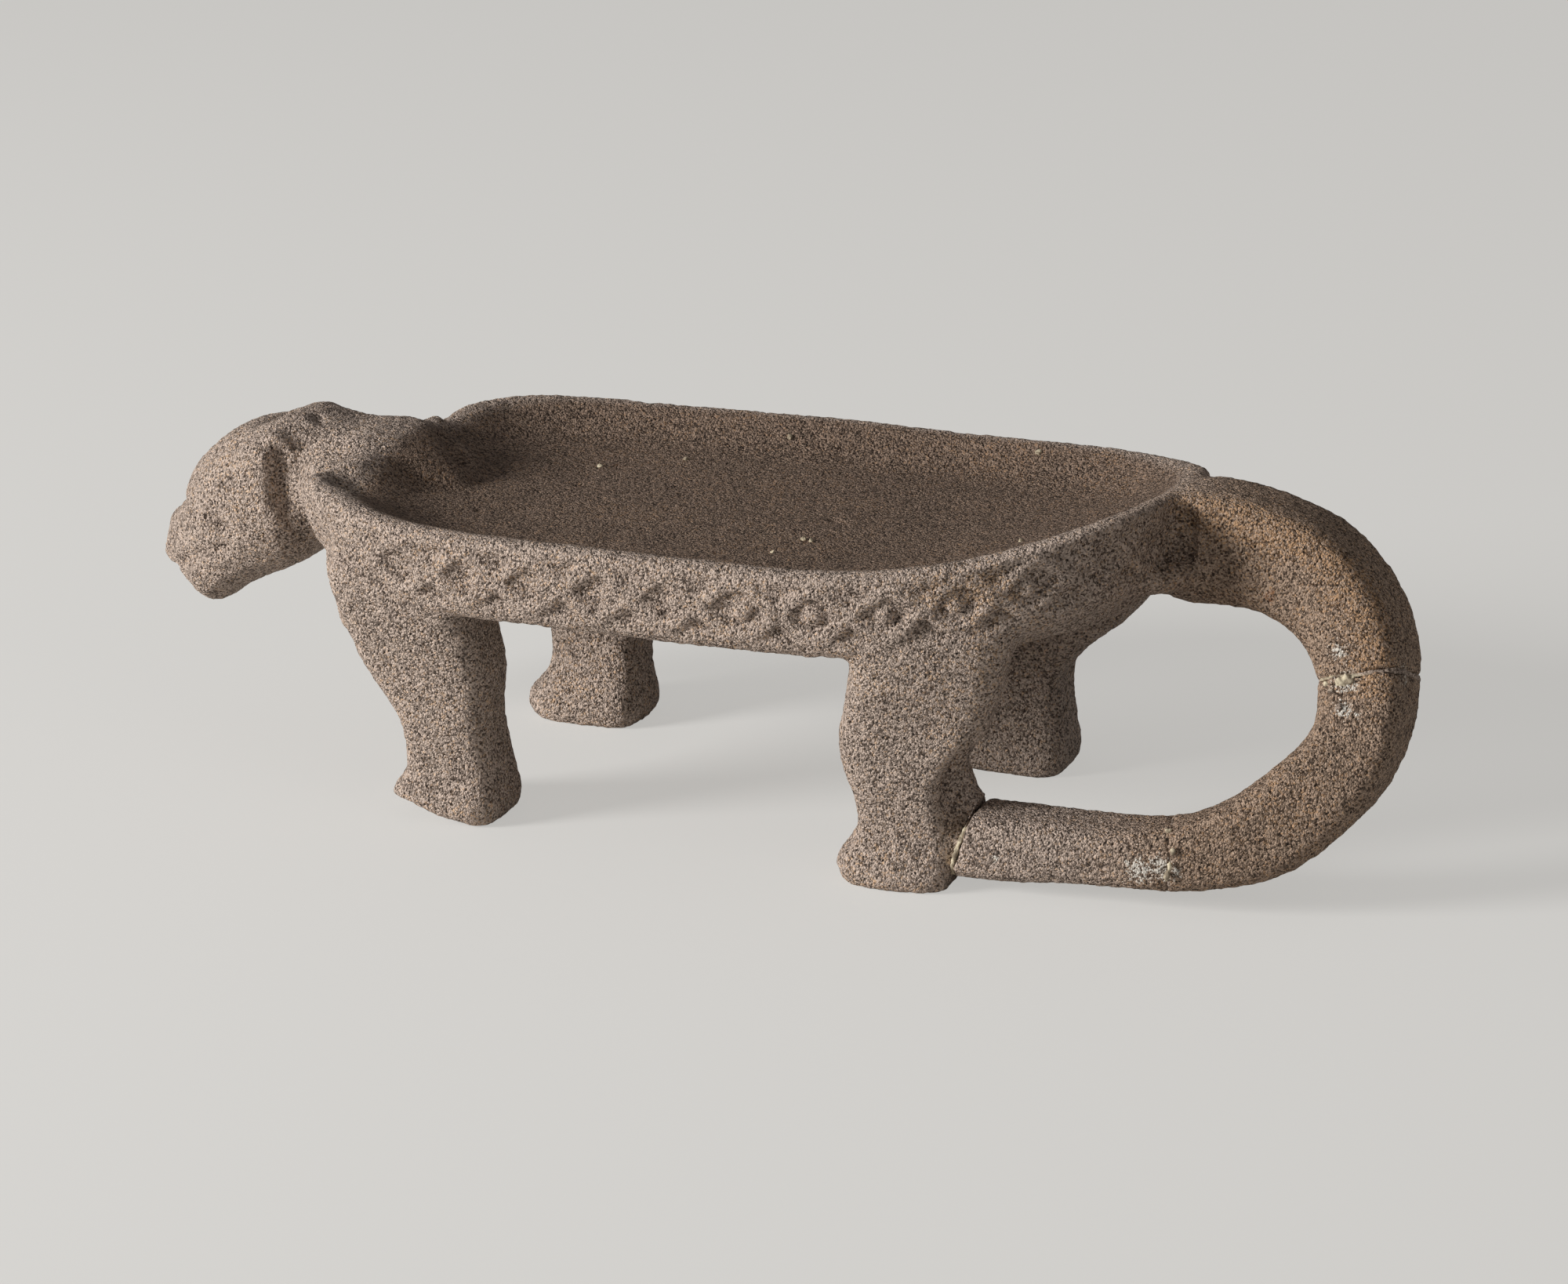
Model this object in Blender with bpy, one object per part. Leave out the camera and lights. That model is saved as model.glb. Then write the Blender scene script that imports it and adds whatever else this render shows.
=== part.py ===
"""Feline effigy grinding stone (metate): a dished plate on four legs, with a head at one end
and a looped tail that has been broken and mended.

Metres, +Z up. X runs from the head (-X) to the tail (+X). The floor is z = 0.
The animal's left side faces -Y. Sizes along X below are measured from the plate's own middle,
and an empty carries every piece so that the whole length lies evenly about x = 0.
"""

import math

import bmesh
import bpy
from mathutils import Vector

# Joints and clearances
JOINT_GAP = 0.0003
MEND_THICKNESS = 0.0020
MEND_SWELL = 0.0004

# Grinding plate
PLATE_FRONT = 0.142
PLATE_REAR = 0.150
PLATE_WIDTH = 0.184
FRONT_SQUARENESS = 4.8
REAR_SQUARENESS = 2.9
RIM_HEIGHT = 0.109
BAND_HEIGHT = 0.0295
BAND_SLANT = 0.003
BAND_EDGE = 0.004
RIM_WIDTH = 0.008
RIM_ROUND = 0.0005
DISH_DEPTH = 0.010
DISH_SLOPE = 0.022
DISH_SAG = 0.0008
PLATE_CORE = 0.0130
REAR_LIFT = 0.017
REAR_LIFT_RUN = 0.110
REAR_TWIST = 0.55
FRONT_LIFT = 0.005
FRONT_LIFT_RUN = 0.060
FRONT_TWIST = 0.45
BELLY_LIFT_SHARE = 0.5
BELLY_MARGIN = 0.0150

# Legs, set back from the plate's ends and in from its sides
FRONT_LEFT_SETBACK = 0.0495
FRONT_RIGHT_SETBACK = 0.0545
HIND_LEFT_SETBACK = 0.0775
HIND_RIGHT_SETBACK = 0.0770
SHOULDER_INSET = 0.0075
FRONT_LEFT_TUCK = 0.0090
FRONT_RIGHT_TUCK = 0.0125
HIND_TUCK = 0.0070
FRONT_LEAN = -0.0105
HIND_LEFT_LEAN = 0.0105
HIND_RIGHT_LEAN = 0.0210
KNEE_LEAN_SHARE = 0.4
FOOT_LENGTH = 0.0405
FOOT_WIDTH = 0.0360
FOOT_HEIGHT = 0.0075
SOLE_ROUND = 0.0035
ANKLE_RISE = 0.0095
ANKLE_RUN = 0.0200
ANKLE_LENGTH = 0.0335
ANKLE_WIDTH = 0.0290
ANKLE_SETBACK = 0.0021
KNEE_RISE = 0.0170
FRONT_KNEE_LENGTH = 0.0445
HIND_KNEE_LENGTH = 0.0490
KNEE_WIDTH = 0.0325
FRONT_SHOULDER_LENGTH = 0.0500
HIND_SHOULDER_LENGTH = 0.0540
SHOULDER_WIDTH = 0.0360
LEG_EMBED = 0.0080
LEG_SQUARENESS = 4.2

# Neck and head
NECK_RUN = 0.0330
NECK_WIDTH = 0.0430
NECK_FLARE = 1.3
NECK_TOP = 0.0115
NECK_DROP = 0.0280
CHEEK_REACH = 0.0300
HEAD_LENGTH = 0.0865
HEAD_WIDTH = 0.0570
CHIN_DROP = 0.0615
MUZZLE_WIDTH = 0.0250
NOSE_DROP = 0.0380
LIP_DROP = 0.0500
HEAD_SQUARENESS = 2.7
EAR_RADIUS = 0.0080
EAR_INSET = 0.0065
EAR_REACH = 0.0345
EAR_DROP = 0.0115

# Tail
TAIL_ROOT_DEPTH = 0.0395
TAIL_ROOT_WIDTH = 0.0360
TAIL_BEND_DEPTH = 0.0300
TAIL_BEND_WIDTH = 0.0335
TAIL_TIP_DEPTH = 0.0230
TAIL_TIP_WIDTH = 0.0270
TAIL_SINK = 0.0035
TAIL_STRAIGHT = 0.0100
TAIL_REACH = 0.0585
TAIL_FLOOR_CLEARANCE = 0.0045
TAIL_EMBED = 0.0120
TAIL_ROOT_SQUARENESS = 5.0
TAIL_TIP_SQUARENESS = 3.2
TAIL_ROOT_SHARE = 0.45
TAIL_PLUG_SHARE = 0.35
UPPER_BREAK_ANGLE = math.radians(14)
LOWER_BREAK_LEAD = 0.0030

# Fineness of the surfaces
PLATE_POINTS = 72
LEG_POINTS = 20
HEAD_POINTS = 24
TAIL_POINTS = 22
RINGS_PER_STATION = 2
TAIL_RING_STEP = 0.0085
STRAIGHT_STEPS = 20
BEND_STEPS = 180
LOW_STEPS = 40

# Derived places
UNDERSIDE = RIM_HEIGHT - BAND_HEIGHT
FRONT_LEFT_X = FRONT_LEFT_SETBACK - PLATE_FRONT
FRONT_RIGHT_X = FRONT_RIGHT_SETBACK - PLATE_FRONT
HIND_LEFT_X = PLATE_REAR - HIND_LEFT_SETBACK
HIND_RIGHT_X = PLATE_REAR - HIND_RIGHT_SETBACK
SHOULDER_SPREAD = PLATE_WIDTH / 2 - SHOULDER_INSET - SHOULDER_WIDTH / 2
HIND_FOOT_SPREAD = SHOULDER_SPREAD - HIND_TUCK
ANKLE_LOW = FOOT_HEIGHT + ANKLE_RISE
ANKLE_HIGH = ANKLE_LOW + ANKLE_RUN
KNEE_HEIGHT = ANKLE_HIGH + KNEE_RISE
TAIL_TOP_Z = RIM_HEIGHT + REAR_LIFT - BAND_HEIGHT / 2 - TAIL_SINK
TAIL_LOW_Z = TAIL_FLOOR_CLEARANCE + TAIL_TIP_DEPTH / 2
TAIL_BEND_X = PLATE_REAR + TAIL_STRAIGHT
HEEL_X = HIND_LEFT_X + max(FOOT_LENGTH, ANKLE_LENGTH) / 2
TAIL_TIP_X = HEEL_X + 2 * JOINT_GAP + MEND_THICKNESS
NOSE_X = -PLATE_FRONT - HEAD_LENGTH
TAIL_END_X = TAIL_BEND_X + TAIL_REACH + TAIL_BEND_DEPTH / 2
CENTRE_X = (NOSE_X + TAIL_END_X) / 2


def clear_scene():
    for obj in list(bpy.data.objects):
        bpy.data.objects.remove(obj, do_unlink=True)


def make_collection(name):
    collection = bpy.data.collections.new(name)
    bpy.context.scene.collection.children.link(collection)
    return collection


def make_material(name, color, roughness):
    material = bpy.data.materials.new(name)
    material.use_nodes = True
    shader = material.node_tree.nodes["Principled BSDF"]
    shader.inputs["Base Color"].default_value = (*color, 1)
    shader.inputs["Roughness"].default_value = roughness
    shader.inputs["Metallic"].default_value = 0
    return material


def blend(a, b, t):
    return a + (b - a) * t


def ease(t):
    t = min(max(t, 0), 1)
    return t * t * (3 - 2 * t)


def squircle(count, half_u, half_v, squareness):
    """Points of a superellipse, anticlockwise, with the given half sizes."""
    power = 2 / squareness
    points = []
    for i in range(count):
        angle = 2 * math.pi * i / count
        c, s = math.cos(angle), math.sin(angle)
        u = half_u * math.copysign(abs(c) ** power, c)
        v = half_v * math.copysign(abs(s) ** power, s)
        points.append((u, v))
    return points


def smooth_rows(stations, steps):
    """Rows of a Catmull-Rom curve through the stations, with this many steps between neighbours."""
    rows = []
    last = len(stations) - 1
    for i in range(last):
        before, start = stations[max(i - 1, 0)], stations[i]
        end, after = stations[i + 1], stations[min(i + 2, last)]
        for k in range(steps):
            t = k / steps
            row = []
            for p0, p1, p2, p3 in zip(before, start, end, after):
                bend = 2 * p0 - 5 * p1 + 4 * p2 - p3
                twist = 3 * (p1 - p2) + p3 - p0
                row.append(p1 + 0.5 * t * (p2 - p0 + t * (bend + t * twist)))
            rows.append(row)
    rows.append(list(stations[last]))
    return rows


def loft(name, rings, collection):
    """A closed solid through rings with the same number of points, capped at both ends."""
    bm = bmesh.new()
    loops = [[bm.verts.new(point) for point in ring] for ring in rings]
    for low, high in zip(loops, loops[1:]):
        for i in range(len(low)):
            j = (i + 1) % len(low)
            bm.faces.new((low[i], low[j], high[j], high[i]))
    bm.faces.new(reversed(loops[0]))
    bm.faces.new(loops[-1])
    bmesh.ops.recalc_face_normals(bm, faces=bm.faces)
    mesh = bpy.data.meshes.new(name)
    bm.to_mesh(mesh)
    bm.free()
    mesh.shade_smooth()
    obj = bpy.data.objects.new(name, mesh)
    collection.objects.link(obj)
    return obj


def as_helper(obj):
    obj.hide_render = True
    obj.display_type = "WIRE"
    return obj


def boolean(obj, other, operation):
    modifier = obj.modifiers.new(operation.title() + " " + other.name, "BOOLEAN")
    modifier.operation = operation
    modifier.solver = "EXACT"
    modifier.object = other


def end_lift(x, y):
    """How far the plate's ends curve up above its middle. The left corners stand higher."""
    left = -y / (PLATE_WIDTH / 2)
    rear = max(x - (PLATE_REAR - REAR_LIFT_RUN), 0) / REAR_LIFT_RUN
    front = max(FRONT_LIFT_RUN - PLATE_FRONT - x, 0) / FRONT_LIFT_RUN
    rear_lift = REAR_LIFT * rear**2 * (1 + REAR_TWIST * left)
    return rear_lift + FRONT_LIFT * front**2 * (1 + FRONT_TWIST * left)


def plate_outline(inset):
    """Outline of the plate, drawn in by the inset: a squarer front half and a rounder rear half."""
    half_y = PLATE_WIDTH / 2 - inset
    front = squircle(PLATE_POINTS, PLATE_FRONT - inset, half_y, FRONT_SQUARENESS)
    rear = squircle(PLATE_POINTS, PLATE_REAR - inset, half_y, REAR_SQUARENESS)
    return [b if b[0] > 0 else a for a, b in zip(front, rear)]


def plate_rings(grow):
    """Rings from the middle of the underside, up the band, over the rim and down into the dish.
    Rows give the inset from the outline, the height against the rim and the share of the end lift."""
    core = PLATE_WIDTH / 2 - PLATE_CORE
    under = -BAND_HEIGHT - grow
    rows = [
        (core, under, BELLY_LIFT_SHARE),
        (core / 2, under, BELLY_LIFT_SHARE),
        (BELLY_MARGIN, under, BELLY_LIFT_SHARE),
        (BAND_SLANT + BAND_EDGE - grow, under, 1),
        (BAND_SLANT - grow, under + BAND_EDGE, 1),
        (BAND_SLANT / 2 - grow, -BAND_HEIGHT / 2, 1),
    ]
    for share in (0, 0.5, 1):
        c, s = math.cos(share * math.pi / 2), math.sin(share * math.pi / 2)
        rows.append((RIM_WIDTH / 2 * (1 - c) - grow * c, grow - BAND_EDGE * (1 - s), 1))
    for share in (0, 0.3, 0.65, 1):
        drop = blend(RIM_ROUND, DISH_DEPTH - DISH_SAG, math.sin(share * math.pi / 2))
        rows.append((RIM_WIDTH + DISH_SLOPE * share, grow - drop, 1))
    rows.append((blend(RIM_WIDTH + DISH_SLOPE, core, 0.5), grow - DISH_DEPTH, 1))
    rows.append((core, grow - DISH_DEPTH, 1))
    rings = []
    for inset, height, share in rows:
        ring = []
        for x, y in plate_outline(inset):
            ring.append(Vector((x, y, RIM_HEIGHT + height + share * end_lift(x, y))))
        rings.append(ring)
    return rings


def leg_rings(ankle_x, foot_spread, lean, knee_length, shoulder_length, side, grow):
    """Rings from the sole up into the plate. Stations give height, X middle, length, Y middle, width."""
    top = UNDERSIDE + LEG_EMBED
    knee_spread = blend(foot_spread, SHOULDER_SPREAD, KNEE_LEAN_SHARE)
    round_in = SOLE_ROUND * (1 - math.sqrt(0.5))
    stations = [
        (0, 0, FOOT_LENGTH - 2 * SOLE_ROUND, foot_spread, FOOT_WIDTH - 2 * SOLE_ROUND),
        (round_in, 0, FOOT_LENGTH - 2 * round_in, foot_spread, FOOT_WIDTH - 2 * round_in),
        (FOOT_HEIGHT, 0, FOOT_LENGTH, foot_spread, FOOT_WIDTH),
        (ANKLE_LOW, ANKLE_SETBACK, ANKLE_LENGTH, foot_spread, ANKLE_WIDTH),
        (ANKLE_HIGH, 0, ANKLE_LENGTH, knee_spread, ANKLE_WIDTH),
        (KNEE_HEIGHT, lean * KNEE_LEAN_SHARE, knee_length, knee_spread, KNEE_WIDTH),
        (UNDERSIDE, lean, shoulder_length, SHOULDER_SPREAD, SHOULDER_WIDTH),
        (top, lean, shoulder_length, SHOULDER_SPREAD, SHOULDER_WIDTH),
    ]
    rings = []
    for height, shift, length, spread, width in smooth_rows(stations, RINGS_PER_STATION):
        outline = squircle(LEG_POINTS, length / 2 + grow, width / 2 + grow, LEG_SQUARENESS)
        middle = Vector((ankle_x + shift, side * spread, height))
        ring = [middle + Vector((u, v, 0)) for u, v in outline]
        rise = max(height - KNEE_HEIGHT, 0) / (top - KNEE_HEIGHT)
        for point in ring:
            point.z += end_lift(point.x, point.y) * rise
        rings.append(ring)
    return rings


def head_rings():
    """Rings from inside the dish forward to the nose. Stations give reach, underside, top, width."""

    def face(share):
        return blend(CHEEK_REACH, HEAD_LENGTH, share)

    def jaw(share):
        return blend(-NECK_DROP * 1.3, -CHIN_DROP, share)

    def chin(share):
        return blend(-CHIN_DROP, -LIP_DROP, share)

    stations = [
        (-NECK_RUN, -NECK_DROP * 0.6, -DISH_DEPTH * 0.55, NECK_WIDTH * 0.7),
        (-NECK_RUN * 0.5, -NECK_DROP * 0.7, NECK_TOP * 0.4, NECK_WIDTH * NECK_FLARE * 0.75),
        (0, -NECK_DROP * 0.8, NECK_TOP * 0.95, NECK_WIDTH * NECK_FLARE),
        (CHEEK_REACH * 0.35, -NECK_DROP, NECK_TOP, NECK_WIDTH * blend(1, NECK_FLARE, 0.3)),
        (CHEEK_REACH * 0.8, -NECK_DROP * 1.25, NECK_TOP, NECK_WIDTH),
        (CHEEK_REACH, jaw(0.2), NECK_TOP, HEAD_WIDTH * 0.93),
        (face(0.12), jaw(0.35), NECK_TOP, HEAD_WIDTH),
        (face(0.32), jaw(0.55), NECK_TOP * 0.6, HEAD_WIDTH),
        (face(0.52), jaw(0.8), NOSE_DROP * 0.05, HEAD_WIDTH * 0.93),
        (face(0.66), -CHIN_DROP, -NOSE_DROP * 0.13, HEAD_WIDTH * 0.81),
        (face(0.78), chin(0.3), -NOSE_DROP * 0.43, HEAD_WIDTH * 0.65),
        (face(0.88), chin(0.7), -NOSE_DROP * 0.70, MUZZLE_WIDTH * 1.16),
        (face(0.95), -LIP_DROP, -NOSE_DROP * 0.91, MUZZLE_WIDTH),
        (HEAD_LENGTH, -LIP_DROP * 0.96, -NOSE_DROP, MUZZLE_WIDTH * 0.7),
    ]
    rings = []
    for reach, low, high, width in smooth_rows(stations, RINGS_PER_STATION):
        outline = squircle(HEAD_POINTS, width / 2, (high - low) / 2, HEAD_SQUARENESS)
        middle = Vector((-PLATE_FRONT - reach, 0, RIM_HEIGHT + (low + high) / 2))
        rings.append([middle + Vector((0, u, v)) for u, v in outline])
    return rings


class TailPath:
    """Middle line of the tail, by distance from the plate: straight back, round a half ellipse
    and forward along the floor to the left hind heel, drifting sideways as it goes round."""

    def __init__(self):
        half_drop = (TAIL_TOP_Z - TAIL_LOW_Z) / 2
        middle_z = (TAIL_TOP_Z + TAIL_LOW_Z) / 2
        start = PLATE_REAR - TAIL_EMBED
        self.points = []
        for i in range(STRAIGHT_STEPS):
            x = blend(start, TAIL_BEND_X, i / STRAIGHT_STEPS)
            self.points.append(Vector((x, 0, TAIL_TOP_Z)))
        for i in range(BEND_STEPS + 1):
            angle = math.pi / 2 - math.pi * i / BEND_STEPS
            x = TAIL_BEND_X + TAIL_REACH * math.cos(angle)
            self.points.append(Vector((x, 0, middle_z + half_drop * math.sin(angle))))
        for i in range(1, LOW_STEPS + 1):
            x = blend(TAIL_BEND_X, HIND_LEFT_X, i / LOW_STEPS)
            self.points.append(Vector((x, 0, TAIL_LOW_Z)))
        for i, point in enumerate(self.points):
            point.y = -HIND_FOOT_SPREAD * ease(i / (len(self.points) - 1))
        self.distances = [0]
        for a, b in zip(self.points, self.points[1:]):
            self.distances.append(self.distances[-1] + (b - a).length)
        self.length = self.distances[-1]
        upper = round((0.5 - UPPER_BREAK_ANGLE / math.pi) * BEND_STEPS)
        self.upper_break = self.distances[STRAIGHT_STEPS + upper]
        self.bend_middle = self.distances[STRAIGHT_STEPS + BEND_STEPS // 2]
        self.bend_end = self.distances[STRAIGHT_STEPS + BEND_STEPS]

    def at(self, distance):
        distance = min(max(distance, 0), self.length)
        i = 1
        while i < len(self.points) - 1 and self.distances[i] < distance:
            i += 1
        a, b = self.points[i - 1], self.points[i]
        t = (distance - self.distances[i - 1]) / (self.distances[i] - self.distances[i - 1])
        return a.lerp(b, t)

    def distance_at_x(self, x):
        """Distance of the place on the low run with this X."""
        i = next(i for i in range(len(self.points) - 1, 0, -1) if self.points[i - 1].x >= x)
        a, b = self.points[i - 1], self.points[i]
        t = (a.x - x) / (a.x - b.x)
        return blend(self.distances[i - 1], self.distances[i], t)

    def size(self, distance):
        """Depth in the loop's plane and width across it."""
        root_run = TAIL_ROOT_SHARE * self.bend_middle
        if distance < self.bend_middle:
            t = ease((distance - root_run) / (self.bend_middle - root_run))
            depth = blend(TAIL_ROOT_DEPTH, TAIL_BEND_DEPTH, t)
            width = blend(TAIL_ROOT_WIDTH, TAIL_BEND_WIDTH, t)
            plug = ease(blend(TAIL_PLUG_SHARE, 1, distance / TAIL_EMBED))
            return depth * plug, width * plug
        t = ease((distance - self.bend_middle) / (self.bend_end - self.bend_middle))
        return blend(TAIL_BEND_DEPTH, TAIL_TIP_DEPTH, t), blend(TAIL_BEND_WIDTH, TAIL_TIP_WIDTH, t)

    def ring(self, distance, swell):
        here = self.at(distance)
        step = TAIL_RING_STEP / 4
        along = (self.at(distance + step) - self.at(distance - step)).normalized()
        across = (Vector((0, 1, 0)) - along * along.y).normalized()
        out = along.cross(across)
        depth, width = self.size(distance)
        squareness = blend(TAIL_ROOT_SQUARENESS, TAIL_TIP_SQUARENESS, distance / self.length)
        outline = squircle(TAIL_POINTS, width / 2 + swell, depth / 2 + swell, squareness)
        return [here + across * u + out * v for u, v in outline]

    def rings(self, start, end, swell=0.0):
        steps = max(round((end - start) / TAIL_RING_STEP), 1)
        return [self.ring(blend(start, end, i / steps), swell) for i in range(steps + 1)]


def make_ears(collection):
    ears = []
    for side, side_name in ((-1, "left"), (1, "right")):
        bm = bmesh.new()
        bmesh.ops.create_uvsphere(bm, u_segments=12, v_segments=8, radius=EAR_RADIUS)
        mesh = bpy.data.meshes.new("ear_" + side_name)
        bm.to_mesh(mesh)
        bm.free()
        ear = bpy.data.objects.new("ear_" + side_name, mesh)
        spread = HEAD_WIDTH / 2 - EAR_INSET
        ear.location = (-PLATE_FRONT - EAR_REACH, side * spread, RIM_HEIGHT + NECK_TOP - EAR_DROP)
        collection.objects.link(ear)
        ears.append(as_helper(ear))
    return ears


def main():
    clear_scene()
    parts = make_collection("feline_effigy_metate")
    cutters = make_collection("cutters")
    stone = make_material("volcanic_stone", (0.26, 0.215, 0.175), 0.92)
    filler = make_material("mend_filler", (0.62, 0.53, 0.40), 0.88)

    plate = loft("grinding_plate", plate_rings(0.0), parts)
    plate_cutter = as_helper(loft("plate_cutter", plate_rings(JOINT_GAP), cutters))
    stones = [plate]

    front = (FRONT_LEAN, FRONT_KNEE_LENGTH, FRONT_SHOULDER_LENGTH)
    hind_left = (HIND_LEFT_LEAN, HIND_KNEE_LENGTH, HIND_SHOULDER_LENGTH)
    hind_right = (HIND_RIGHT_LEAN, HIND_KNEE_LENGTH, HIND_SHOULDER_LENGTH)
    legs = {
        "front_left_leg": (FRONT_LEFT_X, SHOULDER_SPREAD - FRONT_LEFT_TUCK, *front, -1),
        "front_right_leg": (FRONT_RIGHT_X, SHOULDER_SPREAD - FRONT_RIGHT_TUCK, *front, 1),
        "hind_left_leg": (HIND_LEFT_X, HIND_FOOT_SPREAD, *hind_left, -1),
        "hind_right_leg": (HIND_RIGHT_X, HIND_FOOT_SPREAD, *hind_right, 1),
    }
    for name, sizes in legs.items():
        leg = loft(name, leg_rings(*sizes, 0.0), parts)
        boolean(leg, plate_cutter, "DIFFERENCE")
        stones.append(leg)
    heel_rings = leg_rings(*legs["hind_left_leg"], JOINT_GAP)
    heel_cutter = as_helper(loft("heel_cutter", heel_rings, cutters))

    head = loft("head", head_rings(), parts)
    for ear in make_ears(cutters):
        boolean(head, ear, "UNION")
    boolean(head, plate_cutter, "DIFFERENCE")
    stones.append(head)

    path = TailPath()
    upper_start = path.upper_break
    upper_end = upper_start + MEND_THICKNESS
    lower_start = path.bend_end - LOWER_BREAK_LEAD
    lower_end = lower_start + MEND_THICKNESS
    tip_end = path.distance_at_x(TAIL_TIP_X)
    tail_root = loft("tail_root", path.rings(0, upper_start), parts)
    boolean(tail_root, plate_cutter, "DIFFERENCE")
    tail_bend = loft("tail_bend", path.rings(upper_end, lower_start), parts)
    tail_tip = loft("tail_tip", path.rings(lower_end, tip_end), parts)
    stones += [tail_root, tail_bend, tail_tip]

    upper_rings = path.rings(upper_start + JOINT_GAP, upper_end - JOINT_GAP, MEND_SWELL)
    lower_rings = path.rings(lower_start + JOINT_GAP, lower_end - JOINT_GAP, MEND_SWELL)
    mend_end = path.distance_at_x(HIND_LEFT_X + ANKLE_LENGTH / 4)
    upper_mend = loft("upper_tail_mend", upper_rings, parts)
    lower_mend = loft("lower_tail_mend", lower_rings, parts)
    foot_mend = loft("foot_mend", path.rings(tip_end + JOINT_GAP, mend_end, MEND_SWELL), parts)
    boolean(foot_mend, heel_cutter, "DIFFERENCE")
    mends = [upper_mend, lower_mend, foot_mend]

    for obj in stones:
        obj.data.materials.append(stone)
    for obj in mends:
        obj.data.materials.append(filler)

    middle = bpy.data.objects.new("metate_middle", None)
    middle.location.x = -CENTRE_X
    parts.objects.link(middle)
    for obj in (*stones, *mends, *cutters.objects):
        obj.parent = middle


main()
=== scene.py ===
import math

import bmesh
import bpy
import numpy as np
from mathutils import Matrix, Vector


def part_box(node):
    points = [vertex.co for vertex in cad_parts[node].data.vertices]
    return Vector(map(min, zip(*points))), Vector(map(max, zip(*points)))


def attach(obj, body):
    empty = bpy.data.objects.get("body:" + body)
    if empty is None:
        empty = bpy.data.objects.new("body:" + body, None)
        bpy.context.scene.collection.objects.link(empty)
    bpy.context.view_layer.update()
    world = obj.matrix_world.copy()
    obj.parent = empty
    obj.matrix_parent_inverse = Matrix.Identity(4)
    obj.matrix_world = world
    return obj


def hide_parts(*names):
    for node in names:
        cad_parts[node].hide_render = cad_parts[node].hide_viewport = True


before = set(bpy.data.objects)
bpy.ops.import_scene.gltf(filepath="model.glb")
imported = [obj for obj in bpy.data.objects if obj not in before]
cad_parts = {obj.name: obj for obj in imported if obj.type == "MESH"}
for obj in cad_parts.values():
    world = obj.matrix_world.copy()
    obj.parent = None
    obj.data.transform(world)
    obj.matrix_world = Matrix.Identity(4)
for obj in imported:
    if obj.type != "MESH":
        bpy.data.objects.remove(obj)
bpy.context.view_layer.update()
scene = bpy.context.scene

# Lengths are metres in the row frame: +X from head to tail, -Y the side that faces the camera.

# Plate outline and rise of its ends, shared by the ornament and the masks
plateLow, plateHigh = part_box("grinding_plate")
plate = {
    "middle": -0.0025,
    "frontSquareness": 4.8,
    "rearSquareness": 2.9,
    "rimHeight": 0.109,
    "rearLift": 0.017,
    "rearRun": 0.11,
    "rearTwist": 0.55,
    "frontLift": 0.005,
    "frontRun": 0.06,
    "frontTwist": 0.45,
}


def smooth(values):
    values = np.clip(values, 0.0, 1.0)
    return values * values * (3.0 - 2.0 * values)


def plateReach(x):
    return np.where(x < plate["middle"], plate["middle"] - plateLow.x, plateHigh.x - plate["middle"])


def plateSquareness(x):
    return np.where(x < plate["middle"], plate["frontSquareness"], plate["rearSquareness"])


def rimShare(points):
    along = np.abs(points[:, 0] - plate["middle"]) / plateReach(points[:, 0])
    across = np.abs(points[:, 1]) / plateHigh.y
    power = plateSquareness(points[:, 0])
    return (along ** power + across ** power) ** (1.0 / power)


def endLift(x, y):
    own = x - plate["middle"]
    rear = np.maximum(own - (plateHigh.x - plate["middle"] - plate["rearRun"]), 0.0) / plate["rearRun"]
    front = np.maximum(plateLow.x - plate["middle"] + plate["frontRun"] - own, 0.0) / plate["frontRun"]
    left = -y / plateHigh.y
    rearLift = plate["rearLift"] * rear ** 2 * (1.0 + plate["rearTwist"] * left)
    return rearLift + plate["frontLift"] * front ** 2 * (1.0 + plate["frontTwist"] * left)


def rimLoop(count):
    turn = np.linspace(0.0, 2.0 * math.pi, 4001)
    side = np.cos(turn)
    x = plate["middle"] + np.sign(side)
    power = 2.0 / plateSquareness(x)
    x = plate["middle"] + np.sign(side) * plateReach(x) * np.abs(side) ** power
    y = plateHigh.y * np.sign(np.sin(turn)) * np.abs(np.sin(turn)) ** power
    run = np.concatenate([[0.0], np.cumsum(np.hypot(np.diff(x), np.diff(y)))])
    stations = np.linspace(0.0, run[-1], count + 1)[:-1]
    return np.stack([np.interp(stations, run, x), np.interp(stations, run, y)], 1), run[-1]


# Mesh work
def newObject(name, mesh):
    made = bpy.data.objects.new(name, mesh)
    scene.collection.objects.link(made)
    return made


def joinedCopy(name, nodes, swell, extras=(), turns=None):
    work = bmesh.new()
    for node in nodes:
        known = len(work.verts)
        work.from_mesh(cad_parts[node].data)
        work.verts.ensure_lookup_table()
        if turns and node in turns:
            turnAbout(work.verts[known:], turns[node])
    bmesh.ops.remove_doubles(work, verts=work.verts, dist=0.000001)
    work.normal_update()
    for vert in work.verts:
        vert.co += vert.normal * swell
    for lump in extras:
        addLump(work, *lump)
    mesh = bpy.data.meshes.new(name)
    work.to_mesh(mesh)
    work.free()
    return newObject(name, mesh)


def turnAbout(verts, look):
    # a leg turned about its own leaning axis, more at the hip than at the sole
    sole, hip = Vector(look["sole"]), Vector(look["hip"])
    for vert in verts:
        share = (vert.co.z - sole.z) / (hip.z - sole.z)
        axis = sole.lerp(hip, share)
        axis.z = vert.co.z
        off = vert.co - axis
        off.x *= look["width"]
        angle = look["soleAngle"] + (look["hipAngle"] - look["soleAngle"]) * share
        turn = Matrix.Rotation(math.radians(angle), 3, "Z")
        vert.co = axis + turn @ off + Vector(look["hipMove"]) * share


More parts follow.
